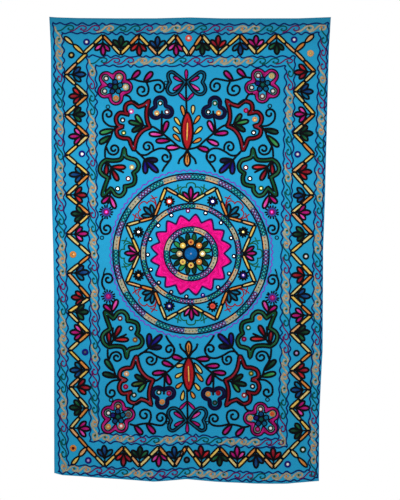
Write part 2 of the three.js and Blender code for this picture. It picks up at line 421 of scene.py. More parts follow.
def mirrorFinish():
    # Silvered glass: its colour the tint of a painted reflection, and faint scratches and clouding in the
    # roughness
    material, tree, shader = startFinish("silveredGlass")
    tint = addNode(tree, "ShaderNodeAttribute", attribute_name="tint").outputs["Color"]
    place = addNode(tree, "ShaderNodeTexCoord").outputs["Object"]
    cloudy = placeGroup(tree, unevenTone, Colour=tint, Place=place, Patches=260.0, Depth=0.08)
    tree.links.new(cloudy.outputs[0], shader.inputs["Base Color"])
    noise = addNode(tree, "ShaderNodeTexNoise", Vector=place, Scale=700.0, Detail=2.0)
    clouding = plus(tree, times(tree, noise.outputs["Fac"], 0.16), 0.04)
    tree.links.new(clouding, shader.inputs["Roughness"])
    shader.inputs["Metallic"].default_value = 1.0
    return material


clothMaterial = clothFinish()
threadMaterial = threadFinish()
mirrorMaterial = mirrorFinish()
print("finishes made")


def makeCloth():
    # A face sheet and a back sheet over the same grid of flat places, closed round the rim
    columns, rows = panel["columns"], panel["rows"]
    hem = np.array([0, panel["hemWidth"] * 0.5, panel["hemWidth"], panel["hemWidth"] + panel["hemStep"]])
    lines = []  # the grid's lines across and down, with the hem's own at both ends
    for length, count in ((panel["topWidth"], columns), (panel["drop"], rows)):
        between = np.linspace(hem[-1], length - hem[-1], count - 2 * len(hem) + 2)
        lines.append(np.concatenate([hem[:-1], between, length - hem[-2::-1]]))
    place = onPanel(*np.meshgrid(*lines)).ravel()
    sides = (faceForward(place), backForward(place))
    sheets = [np.column_stack([place.real, -forward, place.imag]) for forward in sides]
    index = np.arange(rows * columns).reshape(rows, columns)
    quads = [index[:-1, :-1], index[1:, :-1], index[1:, 1:], index[:-1, 1:]]
    quads = np.stack(quads, axis=-1).reshape(-1, 4)
    rim = np.concatenate([index[:-1, 0], index[-1, :-1], index[:0:-1, -1], index[0, :0:-1]])
    nextRim = np.roll(rim, -1)
    back = rows * columns
    rimQuads = np.column_stack([rim, rim + back, nextRim + back, nextRim])
    faceSets = [quads, quads[:, ::-1] + back, rimQuads]
    cloth = makePiece("clothPanel", np.concatenate(sheets), faceSets, clothMaterial)
    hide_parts("cloth")


makeCloth()


# Thread. A row of chain stitch is one four-sided section carried along a path on the face.
stitching = {
    # across in half-widths, off the cloth in heights
    "section": ((-1, -0.12), (-0.5, 0.9), (0.5, 0.9), (1, -0.12)),
    "stitch": 5.0,  # one chain
    "pinch": 0.12,  # how much narrower a row is where two chains meet
    "dipHeight": 0.78,  # the share of its height that it keeps there
    "endWidth": 0.4,  # the shares that an open row keeps at its ends
    "endHeight": 0.45,
    "widestMitre": 2.6,  # how far a row may widen at a corner, in its own widths
    "sharpTurn": 0.7,  # radians; a corner that turns more has a ring of its own
    "outlineHalf": 4,  # half the width of an outline's row
    "outlineHeight": 1.9,
    "fillPitch": 3.3,  # from one fill row to the next in a leaf, at the most
    "fillStitch": 4.8,
    "fillHeight": 1.15,
    "toneSwing": 0.09,
    "toneLimits": (0.75, 1.3),
}
piles = {}  # thread rows gathered for each piece
backRows = []  # stitch places and headings, for the back of the cloth


def turned(degrees):
    # The direction at an angle anticlockwise from the right
    return np.exp(1j * np.radians(degrees))


def circlePath(centre, radius, sides):
    # Even points round a centre, anticlockwise from its right
    return centre + radius * np.exp(2j * np.pi * np.arange(sides) / sides)


def splinePath(points, fine=10):
    # A smooth curve through the points: cubic pieces whose slopes are those of the parabola through
    # each point and its two neighbours, weighed by how far off these are
    knots = np.asarray(points, complex)
    if len(knots) < 3:
        return knots
    around = np.concatenate([2 * knots[:1] - knots[1:2], knots, 2 * knots[-1:] - knots[-2:-1]])
    spans = np.sqrt(np.abs(np.diff(around)))
    rates = np.diff(around) / spans
    slopes = (rates[:-1] * spans[1:] + rates[1:] * spans[:-1]) / (spans[:-1] + spans[1:])
    t = np.linspace(0, 1, fine, endpoint=False)
    start, end = around[1:-2, None], around[2:-1, None]
    span = spans[1:-1, None]
    curve = (
        (2 * t**3 - 3 * t**2 + 1) * start + (t**3 - 2 * t**2 + t) * span * slopes[:-1, None]
        + (3 * t**2 - 2 * t**3) * end + (t**3 - t**2) * span * slopes[1:, None]
    ).ravel()
    return np.append(curve, knots[-1])


def corneredPath(runs):
    # A closed outline with corners: each run of points is smooth and ends where the next begins
    starts = [run[0] for run in runs[1:] + runs[:1]]
    return np.concatenate([splinePath(list(run) + [start])[:-1] for run, start in zip(runs, starts)])


def evenStations(path, step, closed, even=True):
    # Stations at even distances along a path, and an even number of them where asked, but for one moved
    # onto each sharp corner; and where each of them falls in the count of the path's own points
    points = np.append(path, path[0]) if closed else path
    run = np.concatenate([[0], np.cumsum(np.abs(np.diff(points)))])
    count = max(1, round(run[-1] / step / 2)) * 2 if even else max(2, round(run[-1] / step))
    marks = np.linspace(0, run[-1], count + 1)
    steps = np.diff(points)
    turns = np.abs(np.angle(steps[1:] * np.conj(steps[:-1])))
    corners = np.flatnonzero(turns > stitching["sharpTurn"]) + 1
    marks[np.rint(run[corners] / run[-1] * count).astype(int)] = run[corners]
    if closed:
        marks = marks[:-1]
    stations = np.interp(marks, run, points.real) + 1j * np.interp(marks, run, points.imag)
    return stations, np.interp(marks, run, np.arange(len(points)))


def headings(stations, closed):
    # Unit directions of travel, from each station's two neighbours
    if closed:
        steps = np.roll(stations, -1) - np.roll(stations, 1)
    else:
        steps = np.gradient(stations)
    size = np.abs(steps)
    return np.where(size > 1e-9, steps / np.maximum(size, 1e-9), 1)


def sew(pile, path, colour, halfWidth=stitching["outlineHalf"], height=stitching["outlineHeight"],
        closed=False, stitch=stitching["stitch"], onBack=True, widest=stitching["widestMitre"]):
    # Rings of the section at every half stitch, full and pinched by turns, and wider at a corner as a
    # mitre is; an open row tapers at its ends. The colour is a name, one linear colour or one for each
    # point of the path, and the half-width one number or one for each point.
    path = np.asarray(path, complex)
    stations, share = evenStations(path, stitch / 2, closed)
    count = len(stations)
    pinched = np.arange(count) % 2
    known = np.arange(len(path) + closed)

    def atStations(values):
        return np.interp(share, known, np.append(values, values[:1]) if closed else values)
    width = atStations(np.broadcast_to(halfWidth, len(path))) * np.where(pinched, 1 - stitching["pinch"], 1)
    lift = height * np.where(pinched, stitching["dipHeight"], 1)
    if not closed:
        width[[0, -1]] *= stitching["endWidth"]
        lift[[0, -1]] *= stitching["endHeight"]
    tint = linearColour(colour) if isinstance(colour, str) else np.asarray(colour)
    tint = np.column_stack([atStations(part) for part in np.broadcast_to(tint, (len(path), 3)).T])
    tones = np.repeat(dice.normal(1, stitching["toneSwing"], count // 2 + 1), 2)[:count]
    tint = np.clip(tint * np.clip(tones, *stitching["toneLimits"])[:, None], 0, 1)
    travel = headings(stations, closed)
    ahead, behind = np.roll(stations, -1) - stations, stations - np.roll(stations, 1)
    turn = np.abs(np.angle(ahead * np.conj(behind)))
    spaced = np.minimum(np.abs(ahead), np.abs(behind)) > stitch * 0.2
    mitre = np.where(spaced, 1 / np.maximum(np.cos(turn / 2), 1 / widest), 1)
    if not closed:
        mitre[[0, -1]] = 1
    width = width * mitre
    section = np.array(stitching["section"])
    sides = len(section)
    place = stations[:, None] + 1j * travel[:, None] * width[:, None] * section[:, 0]
    ring = np.arange(count) * sides
    here = ring if closed else ring[:-1]
    beyond = np.roll(ring, -1) if closed else ring[1:]
    side = np.arange(sides)
    nextSide = np.roll(side, -1)
    faces = np.stack([
        here[:, None] + side, beyond[:, None] + side, beyond[:, None] + nextSide, here[:, None] + nextSide,
    ], axis=-1).reshape(-1, 4)
    if not closed:
        faces = np.concatenate([faces, [side], [ring[-1] + side[::-1]]])
    run = np.stack(np.broadcast_arrays(np.arange(count)[:, None] / 2, section[:, 0]), axis=-1)
    lifts = lift[:, None] * section[:, 1]
    piles.setdefault(pile, []).append(
        (place.ravel(), lifts.ravel(), faces, np.repeat(tint, sides, axis=0), run.reshape(-1, 2))
    )
    if onBack:
        backRows.append((stations[1::2], travel[1::2], tint[1::2]))


def fillRow(area, path, colour, half, closed=True):
    # One of the low rows that fill a motif
    sew(area + "Fills", path, colour, half, stitching["fillHeight"], closed=closed,
        stitch=stitching["fillStitch"])


def sewRound(pile, place, radius, sides, colour, half, height=stitching["outlineHeight"],
             stitch=stitching["stitch"], onBack=True):
    # A closed row round a place
    sew(pile, circlePath(place, radius, sides), colour, half, height, closed=True, stitch=stitch,
        onBack=onBack)


def offsetPath(path, distance):
    # A parallel of a closed path: its points moved sideways, less those that fall nearer the path again.
    # Where some are left out, a point is put in where the lines of the two ends cross.
    stations, _ = evenStations(path, 1.6, True, even=False)
    travel = headings(stations, True)
    moved = stations + 1j * travel * distance
    nearest = np.abs(moved[:, None] - stations[None, :]).min(axis=1)
    kept = np.flatnonzero(nearest >= 0.98 * abs(distance))
    following = np.roll(kept, -1)
    cuts = np.flatnonzero((following - kept) % len(stations) > 1)
    here, beyond = kept[cuts], following[cuts]
    between = moved[beyond] - moved[here]
    cross = (np.conj(travel[here]) * travel[beyond]).imag
    ahead = (np.conj(between) * travel[beyond]).imag / np.where(np.abs(cross) > 0.1, cross, 1)
    straight = (np.abs(cross) > 0.1) & (ahead > 0) & (ahead < 3 * abs(distance))
    meeting = np.where(straight, moved[here] + travel[here] * ahead, moved[here] + between / 2)
    return np.insert(moved[kept], cuts + 1, meeting)


def shades(colour, levels):
    # A colour for each level: below zero towards black, above it towards a brighter tone of itself
    base = linearColour(colour)
    light = base**0.6 + 0.02
    levels = np.asarray(levels)[..., None]
    return np.where(levels < 0, base * (1 + levels), base + (light - base) * levels)


leafShapes = {
    "petal": lambda t: np.sin(np.pi * t**1.45) ** 0.6,  # widest past its middle, with a round tip
    "slip": lambda t: np.sin(np.pi * t**1.5) ** 0.4,  # tapered to its base, with a blunt tip
    "bud": lambda t: np.sin(np.pi * t) ** 0.6,
    "bar": lambda t: np.sin(np.pi * t) ** 0.12,  # nearly square-ended
    "spindle": lambda t: np.sin(np.pi * t**0.8) ** 0.6,
}


filling = {  # the fill of leaves and bands
    "narrowHalf": 9,  # the half-width under which a leaf has a low ground row below its fill
    "groundHeight": 0.5,
    "groundStitch": 9,
    "groundShade": -0.3,  # painted shade in the gaps between fill rows: the ground row's level against the fill's own
    "leafOverlap": 1.45,  # width of a fill row in its own spacing
    "bandOverlap": 1.25,
    "paintedMiddleHighlight": 0.1,  # painted highlight: how much lighter the middle rows of a leaf are
    "underHeight": 0.6,  # of the row under a band's fill
    "underStitch": 7,
    # the row under a band's fill is a darker copy of it: painted shade in the gaps between the rows
    "underShade": -0.4,
    "underMitre": 1.2,
}


def leaf(area, base, tip, width, colour, shape="petal", levels=(-0.25, 0.3),
         edgeHalf=stitching["outlineHalf"]):
    # A closed outline of the shape's half-width on both sides of an axis, filled with rows that run
    # along it between its sides; the colour goes from the first level at the base to the second at the tip,
    # as painted shade at the base and a painted highlight towards the tip, the middle rows lighter still
    axis = tip - base
    aside = 1j * axis / abs(axis)
    t = np.linspace(0, 1, 30)
    half = width / 2 * leafShapes[shape](np.clip(t, 0, 1 - 1e-9))
    middleLine = base + axis * t
    outline = np.concatenate([middleLine + aside * half, (middleLine - aside * half)[-2:0:-1]])
    sew(area + "Outlines", outline, "ink", edgeHalf, closed=True)
    if half.max() < filling["narrowHalf"]:
        # The ground row is a darker copy of the fill: painted shade in the gaps between its rows
        ground = shades(colour, levels[0] + filling["groundShade"])
        under = np.maximum(half - edgeHalf * 0.3, 0.4)
        sew(area + "Fills", middleLine, ground, under, filling["groundHeight"],
            stitch=filling["groundStitch"], onBack=False)
    inner = np.maximum(half - edgeHalf * 0.88, 0.3)
    rows = max(1, round(2 * inner.max() / stitching["fillPitch"]))
    inside = slice(1, -1) if shape in ("bar", "bud") else slice(3, -2)
    for row in range(rows):
        lane = (2 * row + 1) / rows - 1
        # Painted shade at the base, and a painted highlight towards the tip and along the middle rows
        lightness = levels[0] + (levels[1] - levels[0]) * t**1.3 + filling["paintedMiddleHighlight"] * (1 - abs(lane))
        fillRow(area, (middleLine + aside * inner * lane)[inside], shades(colour, lightness)[inside],
                (inner / rows * filling["leafOverlap"])[inside], closed=False)


def ribbon(path, colour, width, rows=3, edge="ink", light=0.2, edgeHalf=3.4):
    # A closed band of the field: a dark row along each side of the path and fill rows between them,
    # over one wide low row in a darker copy of the fill, painted shade in the gaps between the rows. The
    # fill rows go lighter and darker by turns along the band: painted highlights and painted shade.
    half = width / 2
    for side in (-1, 1):
        sew("fieldOutlines", offsetPath(path, side * (half - edgeHalf)), edge, edgeHalf, closed=True)
    clear = half - edgeHalf * 1.8
    under = shades(colour, filling["underShade"])
    sew("fieldFills", path, under, clear + 1, filling["underHeight"], closed=True,
        stitch=filling["underStitch"], onBack=False, widest=filling["underMitre"])
    for row in range(rows):
        parallel = offsetPath(path, ((2 * row + 1) / rows - 1) * clear)
        # lighter and darker by turns along the row: painted highlights and painted shade
        wander = light * np.sin(np.linspace(0, 6 * np.pi, len(parallel)))
        fillRow("field", parallel, shades(colour, wander), clear / rows * filling["bandOverlap"])


def windIn(points, centre, turns):
    # The points' curve, then a spiral from its last point about the centre to a share of that radius
    inner = 0.22
    start = points[-1] - centre
    t = np.linspace(0, 1, max(8, int(abs(turns) * 14)))[1:]
    spiral = centre + start * (1 - (1 - inner) * t**0.9) * np.exp(2j * np.pi * turns * t)
    return np.concatenate([splinePath(list(points) + list(spiral[:1]))[:-1], spiral])


def stem(area, path, half=stitching["outlineHalf"]):
    # A dark open row
    sew(area + "Outlines", path, "ink", half)


# Mirrors: each is a low glass dome under a raised ring of close stitches.
mirrorRing = {"height": 2.9, "stitch": 2.6, "seenShare": 0.7, "overRim": 1.1}
glasses = []  # place, radius and tint of each, the tint a painted reflection


def pairs(text):
    # Two colours for each mirror, such as its ring's and the painted reflection's on its glass
    return [pair.split() for pair in text.split(", ")]


def eye(place, radius, ringOuter, ringColour, paintedReflectionTint, seen=None):
    # The glass, tinted with a painted reflection, and a ring over its rim from the radius that stays in
    # sight out to the ring's own
    inner = (seen or radius * mirrorRing["seenShare"]) - mirrorRing["overRim"]
    ringMiddle, half = (ringOuter + inner) / 2, (ringOuter - inner) / 2
    sewRound("mirrorRings", place, ringMiddle, 28, ringColour, half, mirrorRing["height"],
             mirrorRing["stitch"], onBack=False)
    glasses.append((place, radius, linearColour(paintedReflectionTint)))


def nodePlace(node):
    # The place of a mirror's node on the panel
    low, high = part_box(node)
    return complex(low.x + high.x, low.z + high.z) / 2 / metre


# The border: wavy lines, two running scrolls all round, and a zigzag of bars with flowers between.
border = {
    "lines": [  # each line's distance in from the left, right, top and bottom edge
        (13, 6, 20.2, 8.5), (42, 32.8, 50.4, 36), (121, 111.5, 126.8, 118.5), (150, 141, 157.6, 145.5),
    ],
    "drawnIn": (4, 1.5),  # how far the left and the right side draw in towards the bottom
    "waveLength": 34,
    "waveHeight": 3.1,
    "scrolls": [(27.5, 19.5, 35.3, 22), (135.5, 126.2, 142.2, 132)],
    "scrollLength": 43.5,
    "scrollHalf": 10.2,
    "scrollRow": (2.5, 1.3),  # half-width and height of a green or plum one
    "tanRow": (3.9, 0.9),
    "lineRow": (2.7, 1.3),  # and of a wavy line
    "lineStitch": 4.6,
    "knot": (1.9, 1.5, 3),  # half-width, height and stitch of the knots in the tan curls
    "mirror": (6.5, 11.7),  # radius, and radius of its ring
    "barWidth": 12,
    "stems": (26, 21),  # from an outer turn, from an inner one
    "petalLengths": (40, 33),  # the middle petal, then those beside it
    "petalWidth": 15.5,
    "petalSpread": 46,
}
# One wave of the scroll: along in waves, aside in half-heights, rolling over its own crest
scrollWave = np.array([
    (-0.30, -0.98), (0.0, -0.72), (0.24, 0.0), (0.44, 0.72), (0.72, 1.0), (0.96, 0.52),
    (0.92, -0.22), (0.70, -0.52), (0.54, -0.14), (0.66, 0.2),
])


def insetCorners(insets):
    # The corners of a rectangle set in from the flat panel's edges: top left, then clockwise; its sides
    # draw together a little towards the bottom
    left, right, top, bottom = insets
    farAcross, farDown = panel["topWidth"] - right, panel["drop"] - bottom
    leftDraw, rightDraw = border["drawnIn"]
    return [
        complex(left - leftDraw / 3, top), complex(farAcross, top),
        complex(farAcross - rightDraw, farDown), complex(left + leftDraw, farDown),
    ]


def wavyLine(insets):
    # A sine either side of the line, with a whole number of waves on each side
    corners = insetCorners(insets)
    sides = []
    for start, end in zip(corners, corners[1:] + corners[:1]):
        length = abs(end - start)
        waves = round(length / border["waveLength"])
        t = np.arange(waves * 12) / (waves * 12)
        drift = 0.9 * np.sin(2 * np.pi * 7 * t + start.real) + 0.6 * np.sin(2 * np.pi * 11 * t)
        swell = 1 + 0.35 * np.sin(19.7 * t + start.real)
        swing = border["waveHeight"] * np.sin(2 * np.pi * waves * t + drift) * swell
        sides.append(start + (end - start) * t + 1j * (end - start) / length * swing)
    flat = np.concatenate(sides)
    path = onPanel(flat.real, flat.imag)
    sew("scrollThreads", path, "navyLine", *border["lineRow"], closed=True, stitch=border["lineStitch"])


def scrollBand(insets):
    # Waves of the scroll along each side, in runs of green, plum and tan; a tan run is thicker and has
    # a bright knot in each curl
    runColours = ("scrollGreen", "plum", "scrollTan")
    topLeft, topRight, bottomRight, bottomLeft = insetCorners(insets)
    sideEnds = (
        (topLeft, topRight), (topRight, bottomRight), (bottomLeft, bottomRight), (topLeft, bottomLeft),
    )
    for side, (start, end) in enumerate(sideEnds):
        length = abs(end - start)
        waves = round(length / border["scrollLength"])
        heading = (end - start) / length
        pitch = length / waves
        firstWave = 0
        run = 0 if side < 2 else 2
        while firstWave < waves:
            colour = runColours[run % 3]
            tan = colour == "scrollTan"
            half, height = border["tanRow" if tan else "scrollRow"]
            size = min(int(dice.integers(1, 4 if tan else 3)), waves - firstWave)
            for step in range(firstWave, firstWave + size):
                along = heading * pitch * (step + 0.18 + scrollWave[:, 0] + dice.uniform(-0.04, 0.04))
                aside = -1j * heading * scrollWave[:, 1] * border["scrollHalf"] * dice.uniform(0.88, 1.08)
                flat = splinePath(start + along + aside, fine=6)
                path = onPanel(flat.real, flat.imag)
                sew("scrollThreads", path, colour, half, height)
                if tan:
                    knotColour = ("olive", "orange")[step % 2]
                    sewRound("scrollThreads", path[-1], 2.2, 10, knotColour, *border["knot"])
            firstWave += size
            run += 1 if side < 2 else 2


def flowerOfThree(area, base, heading, colour, lighter, stemLength, lengths, width, spread):
    # Three petals from one point at the end of a stem, spread to both sides of its heading
    joint = base + heading * stemLength
    if stemLength > 0:
        stem(area, np.array([base, joint + heading * 3]), 2.9)
    for turn, length, tone, share in (
        (-spread, lengths[1], lighter, 0.9), (spread, lengths[1], colour, 0.9), (0, lengths[0], colour, 1),
    ):
        way = heading * turned(turn + dice.uniform(-5, 5))
        leaf(area, joint, joint + way * length * dice.uniform(0.93, 1.05), width * share, tone)


flowerTones = {  # main colour, lighter colour beside it
    "magenta": ("magenta", "pink"), "green": ("darkGreen", "green"),
    "red": ("red", "scarlet"), "blue": ("blue", "teal"),
}
# Along each side of the zigzag: where its turns lie, the line of its outer turns at the side's two ends,
# and that of its inner turns at its two ends and its middle. It starts and ends on an inner turn.
zigzag = {
    "top": {
        "turns": (-347, -285, -227, -168, -108, -48, -6, 38, 90, 161, 213, 280, 340),
        "outer": (-60, -57), "inner": (-119, -115, -124),
        "flowers": "magenta green red blue magenta - green red blue magenta green",
    },
    "right": {
        "turns": (-112, -178, -243, -316, -378, -447, -504, -579, -636, -706, -765, -839, -905, -969,
                  -1026, -1092, -1149, -1211, -1271, -1344, -1405),
        "outer": (405, 386), "inner": (340, 323, 327),
        "flowers": "red blue magenta green" + 3 * " - red blue magenta green",
    },
    "bottom": {
        "turns": (-336, -278, -217, -165, -102, -51, -13, 36, 95, 152, 212, 269, 323),
        "outer": (-1456, -1464), "inner": (-1397, -1404, -1396),
        "flowers": "blue red green magenta blue - red green magenta blue red",
    },
    "left": {
        "turns": (-119, -187, -256, -318, -387, -449, -512, -578, -641, -706, -774, -832, -913, -959,
                  -1026, -1083, -1146, -1202, -1270, -1336, -1397),
        "outer": (-409, -389), "inner": (-338, -336, -326),
        "flowers": "blue red green magenta" + 3 * " - blue red green magenta",
    },
}
barColours = ("cream", "yellow", "orange", "cream", "yellow", "peach", "orange", "cream")
cornerTips = {"top": -410 - 64j, "right": 400 - 57.5j, "bottom": 378.6 - 1461.9j, "left": -385.8 - 1455.4j}


def leg(area, start, end, width, colourIndex, shape="bar"):
    # Two bars end to end, a little apart
    share = 0.5 + dice.uniform(-0.05, 0.05)
    for step, (first, last) in enumerate(((0.0, share - 0.01), (share + 0.01, 1.0))):
        colour = barColours[(colourIndex + step) % len(barColours)]
        base, tip = (start + (end - start) * at for at in (first, last))
        leaf(area, base, tip, width * dice.uniform(0.92, 1.06), colour, shape, (-0.04, 0.14), 3.2)


def zigzagSide(name):
    # Turns alternate between the inner and outer line; a flower grows from each across the band
    side = zigzag[name]
    turns = np.array(side["turns"], float)
    share = np.linspace(0, 1, len(turns))
    outer = np.interp(share, (0, 1), side["outer"])
    innerStart, innerEnd, innerMiddle = side["inner"]
    inner = np.interp(share, (0, 0.5, 1), (innerStart, innerMiddle, innerEnd))
    across = np.where(np.arange(len(turns)) % 2, outer, inner)
    places = turns + 1j * across if name in ("top", "bottom") else across + 1j * turns
    for i in range(len(places) - 1):
        leg("border", places[i], places[i + 1], border["barWidth"], 3 * i + len(name))
    inward = {"top": -1j, "right": -1, "bottom": 1j, "left": 1}[name]
    for i, kind in enumerate(side["flowers"].split()):
        if kind == "-":
            continue
        heading = inward if i % 2 == 0 else -inward
        colour, lighter = flowerTones[kind]
        flowerOfThree("border", places[i + 1], heading, colour, lighter, border["stems"][i % 2],
                      border["petalLengths"], border["petalWidth"], border["petalSpread"])
    return places


borderEyes = pairs(  # ring colour and painted reflection on the glass of each mirror in turn
    "navy white, ink cream, coral white, navy white, peach cream, navy white, ink white, ink lilac, "
    "darkGreen white, navy white, ink dim, navy lilac, orange garnet, navy dim, orange peach, navy white"
)


def makeBorder():
    for insets in border["lines"]:
        wavyLine(insets)
    for insets in border["scrolls"]:
        scrollBand(insets)
    for name in zigzag:
        places = zigzagSide(name)
        node = {"top": places[0], "right": places[0], "bottom": places[-1], "left": places[-1]}[name]
        leg("border", cornerTips[name], node, border["barWidth"] * 1.15, len(name), shape="spindle")
    for i, (ring, reflectionTint) in enumerate(borderEyes):
        eye(nodePlace(f"mirror_border_{i + 1}"), *border["mirror"], ring, reflectionTint)


makeBorder()
print("border laid out")

# The round centrepiece, from its rim inwards.
middle = nodePlace("mirror_centre")
centrepiece = {
    "violetRadius": 267,
    # inner and outer radius, share taller than wide, number of runs, bead radius, first run's start
    "beadRings": [
        (238, 257, 0.014, 33, 5.3, 90), (147.5, 163, 0, 21, 4.0, 102), (70, 88, 0, 12, 4.6, 113),
    ],
    "starTip": 228,
    "starValley": 168,
    "dotRadius": 140,
    "pinkTip": 133.5,
    "pinkValley": 107,
    "pinkDrift": 4,  # degrees that the points lean to the left, most at the top and bottom
    "leafRadii": (46, 67),
    "discRadius": 21.5,
    "barWidth": 10.6,
    "barClear": 5,  # how far a bar stays clear of the valley
    "petalLengths": (43, 38),
    "petalWidth": 13.5,
    "petalSpread": 38,
    "stem": 4,
    "leafWidth": 14.5,
    "bead": (1.9, 1.5, 4),  # half-width, height and stitch of a bead's round
    "beadHeart": (1.6, 1.6, 3),
    "dot": (1.2, 1.7, 3),
    "clover": (2.3, 1.5),
    "tip": (6, (9.4, 14.4), 19),  # mirror, its two rings, and reach of the spikes
    "smallMirror": (4.4, 8.2, 2.8),  # radius, ring's radius, and what stays in sight
    "budMirror": (5.5, 10.4, 3.0),
    "middleMirror": (5.5, 7.4, 3.2),
}
# Ring colour and painted reflection on the glass of the tips' mirrors, from 22.5 degrees anticlockwise
tipEyes = pairs("ink cream, navy white, coral white, ink white, ink peach, navy white, "
                "coral coral, navy lilac")
# Bud colour and the painted reflection on its mirror's glass, from 0 degrees anticlockwise
budEyes = pairs("cream white, orange peach, orange garnet, yellow cream, tan peach, yellow brown, "
                "yellow garnet, orange peach")


def beadRing(inner, outer, taller, runs, beadRadius, firstTurn):
    # Two dark circles with runs between them, clockwise: green beads, a plain tan strip, plum beads
    def at(radius, degrees):
        ray = turned(degrees)
        return middle + radius * (ray.real * (1 - taller) + 1j * ray.imag * (1 + taller))
    for radius in (inner, outer):
        sew("centreOutlines", at(radius, np.arange(0, 360, 2.25)), "night", 3.1, 1.7, closed=True)
    band = (inner + outer) / 2
    clear = outer - inner - 3.4
    runAngle = 360 / runs
    for run in range(runs):
        start = firstTurn - run * runAngle
        kind = ("greenBeads", "strip", "plumBeads")[run % 3]
        if kind == "strip":
            rows = max(2, round(clear / 4.2))
            for row in range(rows):
                radius = band + ((2 * row + 1) / rows - 1) * clear / 2
                arc = at(radius, np.linspace(start - 0.3, start - runAngle + 0.3, 12))
                tone = "peach" if row == 0 and run % 2 else ("tan", "strawGrey")[row % 2]
                sew("centreFills", arc, shades(tone, 0.1), clear / rows / 2 * 1.25, 1.1)
            count = 4 if runs == 33 else 3
        else:
            count = max(2, round(np.radians(runAngle) * band / (2 * beadRadius + 2.4)))
        for k in range(count):
            spot = at(band, start - runAngle * (k + 0.5) / count)
            if kind == "strip":
                sewRound("centreOutlines", spot, 1.5, 8, ("olive", "brown")[run % 2], *centrepiece["dot"])
                continue
            line, heart = ("scrollGreen", "seaGreen") if kind == "greenBeads" else ("plum", "lilac")
            sewRound("centreOutlines", spot, beadRadius, 14, line, *centrepiece["bead"])
            sewRound("centreFills", spot, 1.2, 8, heart, *centrepiece["beadHeart"])


def sun(area, place, radius, rings, reach, ringColour, outerColour, paintedReflectionTint, spikes):
    # A mirror with a coloured ring and an outer one, and short blunt dark spikes all round
    eye(place, radius, rings[0], ringColour, paintedReflectionTint)
    outerMiddle, half = (rings[0] + rings[1]) / 2, (rings[1] - rings[0]) / 2 + 0.8
    sewRound(area + "Outlines", place, outerMiddle, 32, outerColour, half, 1.8, 3.6)
    halves = math.pi * (rings[1] + reach) / spikes * 0.38 * np.array([0.8, 1, 1.05])
    for k in range(spikes):
        ray = turned(360 * (k + dice.uniform(-0.2, 0.2)) / spikes)
        away = np.array([rings[1] - 2.5, (rings[1] + reach) / 2, reach * dice.uniform(0.93, 1.05)])
        sew(area + "Outlines", place + ray * away, "ink", halves, 1.7, stitch=3)


def clover(base, heading, lineColour):
    # A scalloped line round a flower of three petals, with a crossed twig where it turns back
    sideLobe = [16 - 24j, 24 - 31j, 35 - 34j, 45 - 30j, 49 - 22j, 48 - 14.5j]
    topLobe = [48 - 14.5j, 57 - 14j, 62 - 8j, 63 + 0j, 62 + 8j, 57 + 14j, 48 + 14.5j]
    lobes = [splinePath(lobe) for lobe in (sideLobe, topLobe, np.conj(sideLobe[::-1]))]
    path = np.concatenate([lobes[0][:-1], lobes[1][:-1], lobes[2]])
    sew("centreOutlines", base + heading * path, lineColour, *centrepiece["clover"])
    for side in (-1, 1):
        for twig in ((14 - 22j, 32 - 38j, 45 - 42j, 58 - 43j), (51 - 31j, 45 - 42j, 39 - 54j)):
            twig = splinePath([complex(point.real, point.imag * side) for point in twig])
            sew("centreOutlines", base + heading * twig, lineColour, *centrepiece["clover"])


def pinkStar():
    # Sixteen points: rows of thread follow the outline, from the inner circle out to it by even shares
    points = 16
    fine = 12
    turnStep = 360 / points
    degrees = turnStep / 2 * np.arange(2 * points)
    low = np.sin(np.radians(degrees))
    radius = np.where(np.arange(2 * points) % 2, centrepiece["pinkTip"], centrepiece["pinkValley"]) - 3 * low
    drift = centrepiece["pinkDrift"] * low + dice.uniform(-1.2, 1.2, 2 * points)
    corners = (radius + dice.uniform(-1.5, 1.5, 2 * points)) * turned(degrees + drift)
    t = np.linspace(0, 1, fine, endpoint=False)
    bulge = 2.2 * np.sin(np.pi * t)  # the sides of a point swell a little
    edge = (corners[:, None] * (1 - t) + np.roll(corners, -1)[:, None] * t)
    edge = (edge * (1 + bulge / np.abs(edge))).ravel()
    for _ in range(2):  # the means of neighbours round the corners off
        edge = (np.roll(edge, 1) + np.roll(edge, -1)) / 2
    sew("centreOutlines", middle + edge, "grape", 3.9, 1.8, closed=True)
    inner = centrepiece["beadRings"][2][1] + 1.5
    reach = np.abs(edge) - 3.4
    rows = 9
    along = np.linspace(0, 2 * np.pi, len(edge))
    for row in range(rows):
        share = (row + 0.5) / rows
        radius = inner + (reach - inner) * share
        level = 0.3 * np.sin(5 * along + 1.9 * row) * np.sin(16 * along - 0.7 * row) - 0.06 + 0.1 * share
        half = (reach - inner) / rows * 0.6
        fillRow("centre", middle + radius * edge / np.abs(edge), shades("hotPink", level), half)


